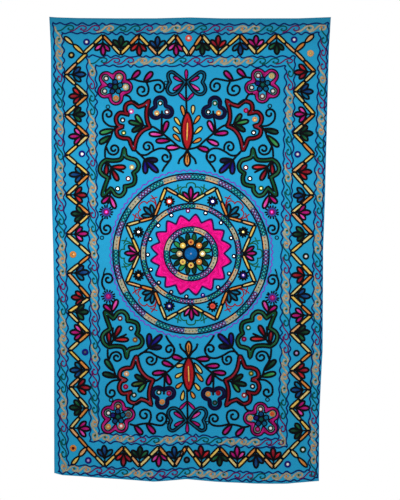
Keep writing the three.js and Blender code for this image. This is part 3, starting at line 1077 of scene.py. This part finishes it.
def makeCentrepiece():
    # A rippled circle, the rings of beads, a star of bars with a flower in each valley and a mirror on
    # each tip, sixteen small mirrors, the pink star, and leaves and buds round the middle disc
    t = np.linspace(0, 1, 1200, endpoint=False)
    ripple = centrepiece["violetRadius"] + 2.6 * np.sin(2 * np.pi * 76 * t + np.sin(2 * np.pi * 5 * t))
    ripple += 1.5 * np.sin(2 * np.pi * 3 * t + 1) - 4.5 * np.cos(4 * np.pi * t)
    sew("centreOutlines", middle + ripple * np.exp(2j * np.pi * t), "violet", 2.2, 1.3, closed=True)
    for ring in centrepiece["beadRings"]:
        beadRing(*ring)
    for k in range(8):
        valley = middle + centrepiece["starValley"] * turned(45 * k)
        lean = 2.2 * math.sin(math.radians(90 * k + 45))
        tip = middle + centrepiece["starTip"] * turned(45 * k + 22.5 + lean)
        nextValley = middle + centrepiece["starValley"] * turned(45 * (k + 1))
        clear = (tip - valley) / abs(tip - valley) * centrepiece["barClear"]
        leg("centre", valley + clear, tip, centrepiece["barWidth"], 2 * k)
        clear = (tip - nextValley) / abs(tip - nextValley) * centrepiece["barClear"]
        leg("centre", tip, nextValley + clear, centrepiece["barWidth"], 2 * k + 5)
        heading = turned(45 * k)
        colour, lighter, line = ("magenta", "pink", "green") if k % 2 == 0 else ("teal", "teal", "red")
        clover(valley, heading, line)
        flowerOfThree("centre", valley, heading, colour, lighter, centrepiece["stem"],
                      centrepiece["petalLengths"], centrepiece["petalWidth"], centrepiece["petalSpread"])
        ring, reflectionTint = tipEyes[k]
        sun("centre", nodePlace(f"mirror_tip_{k + 1}"), *centrepiece["tip"], ring, "ink", reflectionTint, spikes=11)
    for k in range(16):
        drift = 5 * math.sin(math.radians(22.5 * k)) - 2.3 * math.cos(math.radians(22.5 * k)) - 1
        spot = middle + centrepiece["dotRadius"] * turned(22.5 * k + drift)
        ring, reflectionTint = {4: ("plum", "lilac"), 13: ("navy", "lilac")}.get(k, ("night", "white"))
        radius, ringOuter, seen = centrepiece["smallMirror"]
        eye(spot, radius, ringOuter, ring, reflectionTint, seen)
    pinkStar()
    inner, outer = centrepiece["leafRadii"]
    for k in range(16):
        root = middle + (inner - 16) * turned(22.5 + 45 * (k // 2) + (5 if k % 2 else -5))
        tip = middle + outer * turned(22.5 + 45 * (k // 2) + (13 if k % 2 else -13))
        colour = "brightGreen" if k in (0, 6, 10, 13) else "green" if k in (3, 7) else "darkGreen"
        leaf("centre", root, tip, centrepiece["leafWidth"], colour, levels=(-0.3, 0.1), edgeHalf=2.3)
    # Each bud's heart colour is the painted reflection on its mirror's glass
    for k, (petalColour, heart) in enumerate(budEyes):
        place = nodePlace(f"mirror_bud_{k + 1}")
        radius, ringOuter, seen = centrepiece["budMirror"]
        eye(place, radius, ringOuter, petalColour, heart, seen)
        sewRound("centreOutlines", place, 11.6, 30, "ink", 1.7, 1.5, 3.6)
    rows = 5
    for row in range(rows):
        radius = 6.5 + (row + 0.5) * (centrepiece["discRadius"] - 7.5) / rows
        wander = 0.12 * np.sin(np.linspace(0, 4 * np.pi, 60)) - 0.05 * row
        sewRound("centreFills", middle, radius, 60, shades("centreBlue", wander), 1.9, 1.2)
    for away in (0.6, 5.2):
        sewRound("centreOutlines", middle, centrepiece["discRadius"] + away, 60, "ink", 2.8, 1.6)
    radius, ringOuter, seen = centrepiece["middleMirror"]
    # The middle mirror's glass has a dim painted reflection
    eye(middle, radius, ringOuter, "centreBlue", "dim", seen)


makeCentrepiece()
print("centrepiece laid out")

# The field. One quarter is laid out as distances outwards from the panel's middle line and away from
# the centrepiece's level; the other three are its mirror images, each nudged where the hand strayed.
anchors = {  # places of the first quarter that the others' nudges are given for
    "flower": 246 + 541.5j, "palmetteRoot": 133 + 411j, "trefoil": 97 + 471.5j, "sun": 274 + 136j,
    "waist": 271 + 246j, "joint": 149.5 + 305.5j, "horn": 185 + 339j, "curl": 268.5 + 452.7j,
}
quarters = {
    "upper_left": {
        "farTip": 296.7 + 359j, "droop": False, "pinks": ("pink", "magenta"),
        "firstCurl": (91 + 556j, 105.6 + 540.5j),
        "side": -1, "rise": 1, "nudges": (0, 0, 0, 0, 0, 0, 0, 0),
        "nearLeaf": "brightGreen", "farLeaf": "green", "sprig": ("brightGreen", "green", "darkGreen"),
        "trefoilEyes": pairs("darkGreen white, peach cream, garnet white"),
        "redEyes": pairs("pink white, ink white, green cream"),
        "greenEyes": pairs("tan cream, garnet white, darkGreen white"),
        "flowerEyes": pairs("cream white, orange white, ink white, darkGreen white, orange peach"),
        "palmette": "red",
    },
    "upper_right": {
        "farTip": 297 + 347j, "droop": True, "pinks": ("magenta", "pink"),
        "firstCurl": (87 + 559j, 101.5 + 543.5j),
        "side": 1, "rise": 1,
        "nudges": (-13 + 8j, -15 + 5j, -22.7 - 0.6j, -10, -9.4 + 2j, -13.3 - 2j, -16 - 1.6j, -13.4 + 1.7j),
        "nearLeaf": "darkGreen", "farLeaf": "brightGreen", "sprig": ("green", "brightGreen", "darkGreen"),
        "trefoilEyes": pairs("green white, orange peach, ink white"),
        "redEyes": pairs("red pink, peach cream, ink white"),
        "greenEyes": pairs("garnet white, ink white, green cream"),
        "flowerEyes": pairs("cream cream, garnet white, ink white, garnet white, darkGreen white"),
        "palmette": "red",
    },
    "lower_left": {
        "farTip": 287 + 347j, "droop": True, "pinks": ("magenta", "magenta"),
        "firstCurl": (91 + 556j, 105.6 + 540.5j),
        "side": -1, "rise": -1,
        "nudges": (-9 - 13j, -11.4, -6 - 9.5j, -6 + 2j, -8 - 2.3j, -14.3, -7 - 5j, -10.5 - 1.6j),
        "nearLeaf": "darkGreen", "farLeaf": "green", "sprig": ("brightGreen", "olive", "darkGreen"),
        "trefoilEyes": pairs("orange peach, darkGreen white, red pink"),
        "redEyes": pairs("darkGreen white, red pink, peach white"),
        "greenEyes": pairs("brown yellow, ink white, garnet white"),
        "flowerEyes": pairs("brown dim, garnet peach, ink white, orange cream, coral white"),
        "palmette": "garnetRed",
    },
    "lower_right": {
        "farTip": 295 + 350j, "droop": False, "pinks": ("magenta", "magenta"),
        "firstCurl": (84 + 554j, 98 + 541j),
        "side": 1, "rise": -1,
        "nudges": (-17.8 - 5j, -22.5, -22.3 - 6.3j, -9.8 + 6.5j,
                   -15 - 5.6j, -16 - 2.6j, -27 - 6.5j, -22 - 4.8j),
        "nearLeaf": "brightGreen", "farLeaf": "darkGreen",
        "sprig": ("brightGreen", "darkGreen", "darkGreen"),
        "trefoilEyes": pairs("darkGreen dim, red scarlet, orange cream"),
        "redEyes": pairs("red white, ink white, olive yellow"),
        "greenEyes": pairs("garnet pink, green white, orange orange"),
        "flowerEyes": pairs("orange coral, garnet white, peach peach, garnet pink, darkGreen white"),
        "palmette": "red",
    },
}
fieldSizes = {
    "ribbon": 17.8,
    "trefoilRibbon": 15.5,
    "leafSwell": 1.06,
    "loopHalf": 1.8,
    "mirror": (5.5, 9.2),  # radius, and radius of its ring
    "sun": (6, (8.8, 14.8), 23.5),  # mirror, its two rings, and reach of the spikes
}


def lobedOutline(heart, lobes, radius, neck):
    # Overlapping round lobes seen from the heart: on each ray the farthest crossing of any lobe's
    # circle, no nearer than the neck, with the corners softened by a short running mean
    ray = turned(np.arange(0, 360, 2))
    offset = (np.asarray(lobes) - heart)[:, None] * np.conj(ray)
    inside = radius**2 - offset.imag**2
    crossing = offset.real + np.sqrt(np.maximum(inside, 0))
    reach = np.where((inside > 0) & (offset.real > 0), crossing, 0).max(axis=0)
    reach = np.maximum(reach, neck)
    reach = sum(np.roll(reach, shift) for shift in range(-3, 4)) / 7
    return heart + reach * ray


class Quarter:
    # Places of one quarter of the field: mirrored, and moved by the nudges of the anchors near by
    def __init__(self, name):
        self.name = name
        self.details = quarters[name]
        self.nudges = np.array(self.details["nudges"], complex)
        self.anchors = np.array(list(anchors.values()))

    def at(self, points):
        # Each nudge counts by the inverse cube of its anchor's distance
        points = np.asarray(points, complex)
        weight = (np.abs(points[..., None] - self.anchors) ** 2 + 30**2) ** -1.5
        moved = points + (weight * self.nudges).sum(axis=-1) / weight.sum(axis=-1)
        return middle + self.details["side"] * moved.real + 1j * self.details["rise"] * moved.imag

    def spline(self, *points):
        return self.at(splinePath(points))

    def curl(self, points, centre, turns):
        return self.at(windIn(points, centre, turns))

    def leaf(self, base, tip, colour, width):
        base, tip = (complex(self.at(end)) for end in (base, tip))
        leaf("field", base, tip, width * fieldSizes["leafSwell"], colour, "slip")

    def eyes(self, places, kinds):
        for place, (ring, reflectionTint) in zip(places, kinds):
            eye(complex(self.at(place)), *fieldSizes["mirror"], ring, reflectionTint)


budPlaces = (-10.7 - 430.6j, -6 - 1108.6j)  # where the upper and the lower bud grow from
cornerSizes = {
    "band": 8.6,
    "lobe": 18.4,
    "neck": 34,  # no part of the outline comes nearer the heart
    "edgeHalf": 2.7,
    "rows": 2,
    # how deep the painted highlights and painted shade along a corner band's rows go
    "light": 0.45,
    "arc": (10.8, 115),  # the grey line round each mirror: its radius, and degrees to both sides
    "mirror": (7.5, 9.4, 5.4),  # radius, ring's radius, and what stays in sight
    "beads": (17, 8.2),  # how far the heart's five lie from the sixth, and their radius
}


def bandBetween(outer, inner, colour):
    # A closed band between two matching outlines: its rows lie at even shares from one to the other,
    # and go lighter and darker by turns along the band as painted highlights and painted shade
    edgeHalf, rows = cornerSizes["edgeHalf"], cornerSizes["rows"]
    for path in (outer, inner):
        sew("fieldOutlines", path, "ink", edgeHalf, closed=True)
    clear = np.abs(outer - inner)
    first, last = edgeHalf * 0.75 / clear, 1 - edgeHalf * 0.75 / clear
    for row in range(rows):
        share = first + (last - first) * (row + 0.5) / rows
        # painted highlights and painted shade, by turns along the band
        wander = np.sin(np.linspace(0, 14 * np.pi, len(outer)) + row) * (1 - row / rows)
        fillRow("field", inner + (outer - inner) * share, shades(colour, cornerSizes["light"] * wander),
                (last - first) * clear / rows * 0.6)


def cornerFlower(quarter):
    # A band in five lobes round five mirrors, and six beads at the heart
    lobes = [nodePlace(f"mirror_{quarter.name}_{i + 1}") for i in range(5)]
    heart = complex(quarter.at(anchors["flower"]))
    spread = cornerSizes["band"] / 2
    outer = lobedOutline(heart, lobes, cornerSizes["lobe"] + spread, cornerSizes["neck"] + spread + 1)
    inner = lobedOutline(heart, lobes, cornerSizes["lobe"] - spread, cornerSizes["neck"] - spread - 5)
    bandBetween(outer, inner, "magenta")
    radius, halfTurn = cornerSizes["arc"]
    outward = np.radians(np.linspace(-halfTurn, halfTurn, 20))
    for lobe in lobes:
        arc = lobe + radius * (lobe - heart) / abs(lobe - heart) * np.exp(1j * outward)
        sew("fieldOutlines", arc, "sage", 1.5, 1.2)
    mirror, ringOuter, seen = cornerSizes["mirror"]
    for lobe, (ring, reflectionTint) in zip(lobes, quarter.details["flowerEyes"]):
        eye(lobe, mirror, ringOuter, ring, reflectionTint, seen)
    away, bead = cornerSizes["beads"]
    for k, colour in enumerate(("teal", "blue", "navy", "blue", "teal", "scrollGreen")):
        place = heart + (away * turned(72 * k + 20) if k < 5 else 0)
        sewRound("fieldOutlines", place, bead, 26, "ink", 2.4, 1.7, 3.8)
        for radius, half in ((4.6, 1.8), (1.5, 1.7)):
            sewRound("fieldFills", place, radius, 16, shades(colour, 0.06), half, 1.2, 3.6)


def redPalmette(quarter):
    # A ribbon in four lobes with three mirrors, and a sprig of three leaves in it
    outline = quarter.at(corneredPath([
        [136.5 + 496.6j, 152 + 484j],
        [169.7 + 477j, 190 + 491.4j, 210 + 484j, 213 + 463j],
        [203 + 452.7j, 231 + 456.6j, 243 + 440.4j, 237 + 419j],
        [221 + 413j, 240.5 + 402.4j, 237.3 + 383.5j, 221 + 375.4j, 202.2 + 373j],
        [194 + 355j, 185 + 339j, 181 + 357j, 173 + 380j, 156 + 400j],
        [133.3 + 411j, 141.4 + 430j, 144 + 461j],
    ]))
    ribbon(outline, quarter.details["palmette"], fieldSizes["ribbon"])
    quarter.eyes((194 + 462.8j, 221.7 + 434.5j, 218.4 + 392.9j), quarter.details["redEyes"])
    joint = 156 + 417.5j
    stem("field", quarter.at([138 + 412j, 158 + 417.5j]))
    for tip, colour in zip((179 + 450.5j, 201.5 + 429j, 190.5 + 397j), quarter.details["sprig"]):
        quarter.leaf(joint, tip, colour, 13)


def greenPalmette(quarter):
    # A ribbon in five lobes with three mirrors, and three red leaves and their stems in it
    outline = quarter.at(corneredPath([
        [216.5 + 340.6j, 211 + 316j, 198.3 + 309.7j, 178.8 + 303.6j, 169.7 + 287.3j, 174 + 273j],
        [187 + 262j, 181.5 + 248j, 185 + 228.5j, 202 + 220.4j],
        [214.5 + 219j, 215 + 203j, 229 + 188j, 245 + 191.8j, 254 + 204j],
        [260 + 212j, 271 + 201j, 286 + 189.8j, 281.5 + 212.2j, 273 + 236.6j],
        [270 + 246.4j, 289.3 + 259.4j, 295.8 + 273j, 289.3 + 293.5j],
        [275.3 + 305j, 251 + 302.6j, 227.5 + 308j],
    ]))
    ribbon(outline, "green", fieldSizes["ribbon"], light=0.28)
    quarter.eyes((192 + 281j, 203.5 + 243.8j, 237.9 + 211.3j), quarter.details["greenEyes"])
    joint = 259 + 281j
    quarter.leaf(273.3 + 293j, 275.5 + 257j, "red", 12.5)
    quarter.leaf(joint, 213 + 281j, "scarlet", 13)
    quarter.leaf(joint - 3 - 8j, 237 + 238j, "red", 13.5)
    stem("field", quarter.spline(joint, 236 + 272j, 217 + 263j))
    stem("field", quarter.spline(joint, 262 + 262j, 261 + 240.5j))
    stem("field", quarter.spline(joint, 268 + 293j, 276 + 303j))


def trefoil(quarter):
    # A dark ribbon in three lobes, a mirror in each, on a long stem
    lobes = [quarter.at(place) for place in (99.8 + 491j, 114 + 458j, 78 + 461j)]
    outline = lobedOutline(complex(quarter.at(97.3 + 469j)), lobes, 17, 20)
    ribbon(outline, "deepNavy", fieldSizes["trefoilRibbon"], 1, "night", 0.1, 3.2)
    quarter.eyes((99.8 + 489.5j, 111 + 457j, 78 + 461j), quarter.details["trefoilEyes"])
    stem("field", quarter.spline(94 + 466j, 95 + 430j, 96.5 + 394j))


def fieldStems(quarter):
    # Stems, curls and their small loops. A curl is given by its points, its middle and its turns.
    turnIn, heart = quarter.details["firstCurl"]
    curls = [
        ([209 + 564j, 190 + 567.5j, 170 + 561.6j, 143 + 558.4j, 117 + 563.6j, turnIn + 10 + 7.6j, turnIn],
         heart, 1.3),
        ([145 + 558j, 137.5 + 537j, 141 + 519.4j], 159.3 + 531j, 1.2),
        ([242.8 + 412j, 265 + 415.4j, 283.4 + 431.6j, 286.5 + 452j], 268.5 + 452.7j, 1.15),
        ([276 + 348j, 265.2 + 326.6j, 250.9 + 321.8j], 250 + 340j, -1.3),
        ([178.8 + 334.8j, 165.8 + 322.7j, 145.3 + 321j, 125 + 332.8j, 100.8 + 342j, 80.3 + 339j,
          68.3 + 326.6j], 82 + 313j, 1.25),
        ([123.5 + 337j, 122.5 + 345j], 141.4 + 347j, -1.3),
        ([284.7 + 116.4j, 294 + 98.5j, 293.8 + 80.6j, 286 + 66j, 271.4 + 64.4j], 274.6 + 81.3j, -1.1),
    ]
    for points, centre, turns in curls:
        stem("field", quarter.curl(points, centre, turns))
    for points in (
        (217 + 516j, 201 + 511j, 191.5 + 496j, 169.7 + 481j),
        (241.8 + 412j, 253.5 + 399j, 261.3 + 376.4j, 273 + 355j, 278.5 + 339j, 279 + 312j),
        (182 + 338j, 165 + 322j, 149.5 + 305.5j),
        (67.5 + 322j, 67 + 308j, 76 + 294j, 86 + 281j, 94 + 266j),
        (262 + 205j, 263.3 + 188j, 270 + 160j),
    ):
        stem("field", quarter.spline(*points))
    root = budPlaces[0] if quarter.details["rise"] > 0 else budPlaces[1]
    branch = quarter.at([36 + 346j, 62 + 367j, 88.4 + 387.7j, 109 + 404j, 123.5 + 412j, 134 + 412j])
    stem("field", splinePath(np.append(root, branch)))
    loops = [(269.5 + 477j, 6)]
    if quarter.name != "upper_right":
        loops.append((turnIn - 9.5, 5.2))
    if quarter.details["rise"] > 0:
        loops.append((289 + 52j, 5.6))
    for place, radius in loops:
        sewRound("fieldOutlines", complex(quarter.at(place)), radius, 20, "ink", fieldSizes["loopHalf"])
    if quarter.details["rise"] < 0:
        stem("field", quarter.spline(294 + 88j, 290 + 62j, 284 + 44j), np.linspace(1.9, 2.8, 21))


def fieldLeaves(quarter):
    details = quarter.details
    droop = details["droop"]
    for base, tip, colour, width in (
        (192 + 568.4j, 167 + 594j, "magenta", 14.5), (152 + 560.3j, 126 + 590j, "magenta", 15),
        (251 + 402.4j, 295.8 + 391.6j, details["nearLeaf"], 14.6),
        (262 + 382j, details["farTip"], details["farLeaf"], 14.6),
        (91 + 386j, 135 + 389.4j, details["pinks"][0], 14), (90 + 392j, 76 + 430j, details["pinks"][1], 14),
        (68 + 368j, 104 + 353j if droop else 113 + 366j, details["pinks"][1], 14),
        (36 + 346j, 72 + 335j if droop else 80.3 + 344j, details["pinks"][0], 14.6),
        (149.5 + 305.5j, 109 + 303.6j, "night", 14), (149.5 + 305.5j, 107.3 + 265j, "navy", 14.5),
        (149.5 + 305.5j, 147.6 + 261j, "navy", 14.5), (263.3 + 188j, 288.6 + 165j, "magenta", 13.5),
        (263.3 + 188j, 246 + 148j, "pink", 14),
    ):
        quarter.leaf(base, tip, colour, width)


butterflySizes = {"ribbon": 14, "edgeHalf": 2.7}


def butterfly(place, rise):
    # Two heart-like wings in a double line with two petals in each, one more between them, and a pair of
    # leaves on the stem
    def at(points, side):
        points = np.asarray(points, complex)
        return place + side * points.real + 1j * rise * points.imag

    def petal(base, tip, side, width, colour, edgeHalf):
        base, tip = (complex(at(end, side)) for end in (base, tip))
        leaf("field", base, tip, width, colour, "slip", edgeHalf=edgeHalf)
    stem("field", at([-1 - 2j, -0.6 - 40j, 1 - 98j], rise))
    for side in (-1, 1):
        wing = at(corneredPath([
            [4 + 1j, 28 + 21j, 47 + 33j, 58 + 27j, 58 + 12j],
            [52 + 0j, 60 - 14j, 62 - 26j, 55 - 37j, 42 - 40j, 26 - 31j],
        ]), side)
        ribbon(wing, "deepTeal", butterflySizes["ribbon"], rows=1, edgeHalf=butterflySizes["edgeHalf"])
        petal(9 + 1j, 42 + 17j, side, 10.5, "magenta", 2.3)
        petal(10 - 4j, 43 - 27j, side, 11, "pink" if side > 0 else "magenta", 2.3)
        petal(-62j, 25 - 36j, side, 9.5, "magenta", 2.1)
    petal(7j, 41j, 1, 10.5, "magenta", 2.2)


slips = {  # the pieces beside each bud: base and tip outwards and along from its foot, and colour
    "upper": {
        -1: ((9 + 107j, 18 + 143j, "orange"), (21.6 + 77j, 40.5 + 104j, "yellow"),
             (24 + 51j, 45 + 73j, "cream"), (23 + 27j, 45 + 48.5j, "orange")),
        1: ((18 + 115j, 19.5 + 144j, "cream"), (22 + 83j, 40.5 + 110j, "orange"),
            (23 + 50j, 48 + 73j, "yellow"), (18 + 21j, 45.5 + 35j, "orange")),
    },
    "lower": {
        -1: ((16 + 21.5j, 41 + 27j, "cream"), (19 + 48.5j, 43 + 62.5j, "yellow"),
             (20 + 80j, 41 + 97j, "orange"), (16.5 + 106j, 22 + 137j, "yellow")),
        1: ((18.5 + 16j, 43 + 49j, "cream"), (23 + 47j, 46 + 75j, "orange"),
            (18.5 + 81j, 36 + 103.5j, "yellow"), (7 + 109j, 19 + 130j, "orange")),
    },
}


budSizes = {"width": 37, "stripe": (0.24, 0.72), "slipWidth": 12, "dropWidth": 19, "drop": (5, 54)}


def bud(place, rise, length):
    # A long pointed bud with a golden stripe and four slips a side, over a small drop and two curls
    up = 1j * rise
    leaf("field", place - up * 2, place + up * length, budSizes["width"], "scarlet", "bud", (-0.3, -0.08))
    stripe = place + up * length * np.linspace(*budSizes["stripe"], 8)
    sew("fieldOutlines", stripe + np.linspace(-1, 1, 8), "yellow", 2.6, 2.1)
    for side in (-1, 1):
        lance = splinePath(stripe[0] + length * np.array([0, 0.055 * side + 0.25j * rise, 0.6j * rise]))
        sew("fieldOutlines", lance, "garnet", 1.5, 1.9)
    for side in (-1, 1):
        for base, tip, colour in slips["upper" if rise > 0 else "lower"][side]:
            base, tip = (place + side * spot.real + up * spot.imag for spot in (base, tip))
            leaf("field", base, tip, budSizes["slipWidth"], colour, "slip", (-0.05, 0.15), 2.6)
        curl = splinePath(place + side * np.array([0, 9, 24, 28]) - up * np.array([0, 16, 32, 42]))
        stem("field", curl)
        sewRound("fieldOutlines", curl[-1] - 2 * up, 2.6, 12, "ink", fieldSizes["loopHalf"], stitch=3)
    first, last = budSizes["drop"]
    leaf("field", place - up * first, place - up * last, budSizes["dropWidth"], "orange", levels=(-0.1, 0.1))
    sew("fieldOutlines", place - up * np.linspace(18, 44, 5), "ink", 2.4, 2.2)


def makeField():
    for name in quarters:
        quarter = Quarter(name)
        cornerFlower(quarter)
        redPalmette(quarter)
        greenPalmette(quarter)
        trefoil(quarter)
        fieldStems(quarter)
        fieldLeaves(quarter)
    for i in range(len(quarters)):
        place = nodePlace(f"mirror_sun_{i + 1}")
        # The last colour is the painted reflection on the sun's mirror
        sun("field", place, *fieldSizes["sun"], "magenta", "dusk", "pink", spikes=14)
    butterfly(-13.7 - 211.3j, 1)
    butterfly(-10.5 - 1311j, -1)
    bud(budPlaces[0], 1, 122)
    bud(budPlaces[1], -1, 107)


makeField()
print("field laid out")


def makeThreadPiece(name):
    # All rows of one pile as a single mesh
    places, lifts, faceSets, tints, runs = zip(*piles[name])
    place = np.concatenate(places)
    starts = np.cumsum([0] + [len(row) for row in places[:-1]])
    faces = np.concatenate([row + start for row, start in zip(faceSets, starts)])
    points = np.column_stack([place.real, -(faceForward(place) + np.concatenate(lifts)), place.imag])
    makePiece(name, points, [faces], threadMaterial, np.concatenate(tints), np.concatenate(runs))


glassSides = 20
glassProfile = np.array([  # share of the radius, off the cloth, share of the full brightness: a painted reflection, bright in the middle and darker to the rim
    (0.0, 1.6, 1.0), (0.34, 1.55, 1.0), (0.6, 1.42, 0.55),
    (0.9, 1.2, 0.25), (1.0, 0.95, 0.2), (1.0, 0.3, 0.2),
])


def makeGlasses():
    # A low dome turned about each mirror's own axis, tilted as the cloth beneath it is and a little by
    # chance
    places, radii, tints = (np.array(part) for part in zip(*glasses))
    slopes = [
        (faceForward(places + radii * way) - faceForward(places - radii * way)) / (2 * radii)
        for way in (1, 1j)
    ]
    acrossSlope, upSlope = (slope + dice.normal(0, 0.02, len(places)) for slope in slopes)
    offset = radii[:, None, None] * glassProfile[None, 1:, :1] * circlePath(0, 1, glassSides)
    forward = (faceForward(places)[:, None, None] + glassProfile[None, 1:, 1:2]
               + acrossSlope[:, None, None] * offset.real + upSlope[:, None, None] * offset.imag)
    spot = places[:, None, None] + offset
    rings = np.stack([spot.real, -forward, spot.imag], axis=-1).reshape(len(places), -1, 3)
    tops = np.column_stack([places.real, -(faceForward(places) + glassProfile[0, 1]), places.imag])[:, None]
    points = np.concatenate([tops, rings], axis=1)
    starts = (np.arange(len(places)) * points.shape[1])[:, None, None]
    side = np.arange(glassSides)
    nextSide = np.roll(side, -1)
    fan = np.stack([np.zeros(glassSides, int), 1 + side, 1 + nextSide], axis=-1)
    walls = []
    for ring in range(len(glassProfile) - 2):
        upper, lower = 1 + ring * glassSides, 1 + (ring + 1) * glassSides
        walls.append(np.stack([upper + side, lower + side, lower + nextSide, upper + nextSide], axis=-1))
    floor = 1 + (len(glassProfile) - 2) * glassSides + side[::-1]
    floorFan = np.stack([np.full(glassSides - 2, floor[0]), floor[1:-1], floor[2:]], axis=-1)
    triangles = (np.concatenate([fan, floorFan]) + starts).reshape(-1, 3)
    quads = (np.concatenate(walls) + starts).reshape(-1, 4)
    # Each glass's tint falls from its middle to its rim: a painted reflection
    paintedReflectionShare = np.concatenate([glassProfile[:1, 2], np.repeat(glassProfile[1:, 2], glassSides)])
    tints = (tints[:, None] * paintedReflectionShare[:, None]).reshape(-1, 3)
    piece = makePiece("mirrors", points.reshape(-1, 3), [triangles, quads], mirrorMaterial, tints)
    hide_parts(*[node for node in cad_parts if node.startswith("mirror_")])


backStitch = {  # its five points: the two ends, and three round its middle
    "every": 3,
    "along": (-2.2, 0, 0, 0, 2.2),
    "aside": (0, -0.8, 0, 0.8, 0),
    "lift": (-0.05, -0.1, 0.55, -0.1, -0.05),  # off the back, and no further than the wall
}


def makeBackStitches():
    # On the back one short straight stitch shows for every three chains: a three-sided lozenge
    place, travel, tints = (np.concatenate(part) for part in zip(*backRows))
    keep = np.arange(len(place)) % backStitch["every"] == 0
    place, travel, tints = place[keep], travel[keep], tints[keep]
    along, aside, lift = (np.array(backStitch[part]) for part in ("along", "aside", "lift"))
    spot = place[:, None] + travel[:, None] * (along + 1j * aside)
    hung = backForward(spot)
    forward = hung - np.minimum(lift, hung)
    points = np.stack([spot.real, -forward, spot.imag], axis=-1).reshape(-1, 3)
    faces = np.array([(0, 2, 1), (0, 3, 2), (0, 1, 3), (4, 1, 2), (4, 2, 3), (4, 3, 1)])
    faces = (faces[None] + (np.arange(len(place)) * 5)[:, None, None]).reshape(-1, 3)
    runs = np.zeros((len(points), 2))
    makePiece("backStitches", points, [faces], threadMaterial, np.repeat(tints, 5, axis=0), runs)


for pileName in piles:
    makeThreadPiece(pileName)
makeGlasses()
makeBackStitches()

# The studio: a pale floor below the picture's frame, even white surroundings, and one soft lamp before
# the upper half of the panel
studio = {
    "photoStep": 3.25,  # millimetres of the panel to one pixel of the 400 by 500 picture
    "photoSize": (400, 500),
    "photoTopMiddle": (190.5, 17),  # the pixel at the middle of the panel's top edge
    "lens": 80,
    "sensor": 36,
    "faceDepth": 8,
    "surround": 0.8,
    "lampPower": 3.5,
    "lampSize": (0.8, 0.5),
    "lampAt": (-0.09, -0.66, -0.55),
    "lampAim": (-0.07, 0.0, -0.68),
    "floorSize": 5.0,
    "floorHeight": -1.8,
    "floorDepths": (-4, 1),  # its front and back edge
}


def makeStudio():
    scene = bpy.context.scene
    width, height = studio["photoSize"]
    topX, topY = studio["photoTopMiddle"]
    step = studio["photoStep"] * metre
    distance = height * step * studio["lens"] / studio["sensor"]
    camera = bpy.data.objects.new("camera", bpy.data.cameras.new("camera"))
    camera.data.lens = studio["lens"]
    camera.data.sensor_width = studio["sensor"]
    away = -distance - studio["faceDepth"] * metre
    camera.location = ((width / 2 - topX) * step, away, (topY - height / 2) * step)
    camera.rotation_euler = (math.pi / 2, 0, 0)
    scene.collection.objects.link(camera)
    scene.camera = camera
    lamp = bpy.data.objects.new("lamp", bpy.data.lights.new("lamp", "AREA"))
    lamp.data.shape = "RECTANGLE"
    lamp.data.size, lamp.data.size_y = studio["lampSize"]
    lamp.visible_camera = False
    lamp.data.energy = studio["lampPower"]
    lamp.location = studio["lampAt"]
    aim = Vector(studio["lampAim"]) - lamp.location
    lamp.rotation_euler = aim.to_track_quat("-Z", "Y").to_euler()
    scene.collection.objects.link(lamp)
    half = studio["floorSize"] / 2
    mesh = bpy.data.meshes.new("floor")
    low = studio["floorHeight"]
    near, far = studio["floorDepths"]
    corners = [(-half, near, low), (half, near, low), (half, far, low), (-half, far, low)]
    mesh.from_pydata(corners, [], [(0, 1, 2, 3)])
    floor = bpy.data.objects.new("floor", mesh)
    paint, tree, shader = startFinish("paleFloor")
    shader.inputs["Base Color"].default_value = (0.82, 0.82, 0.81, 1)
    shader.inputs["Roughness"].default_value = 0.9
    mesh.materials.append(paint)
    scene.collection.objects.link(floor)
    floor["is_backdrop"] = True
    world = bpy.data.worlds.new("surroundings")
    scene.world = world
    world.use_nodes = True
    tree = world.node_tree
    tree.nodes.clear()
    path = addNode(tree, "ShaderNodeLightPath")
    seen = addNode(tree, "ShaderNodeBackground", Color=(1, 1, 1, 1), Strength=1.0)
    lit = addNode(tree, "ShaderNodeBackground", Color=(1, 1, 1, 1), Strength=studio["surround"])
    mix = addNode(tree, "ShaderNodeMixShader", Fac=path.outputs["Is Camera Ray"])
    tree.links.new(lit.outputs[0], mix.inputs[1])
    tree.links.new(seen.outputs[0], mix.inputs[2])
    addNode(tree, "ShaderNodeOutputWorld", Surface=mix.outputs[0])
    scene.view_settings.view_transform = "Standard"


makeStudio()
print("studio set")

for side, size in (("cad", cadBox), ("visual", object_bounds())):
    print(side, [[round(v, 4) for v in corner] for corner in size])
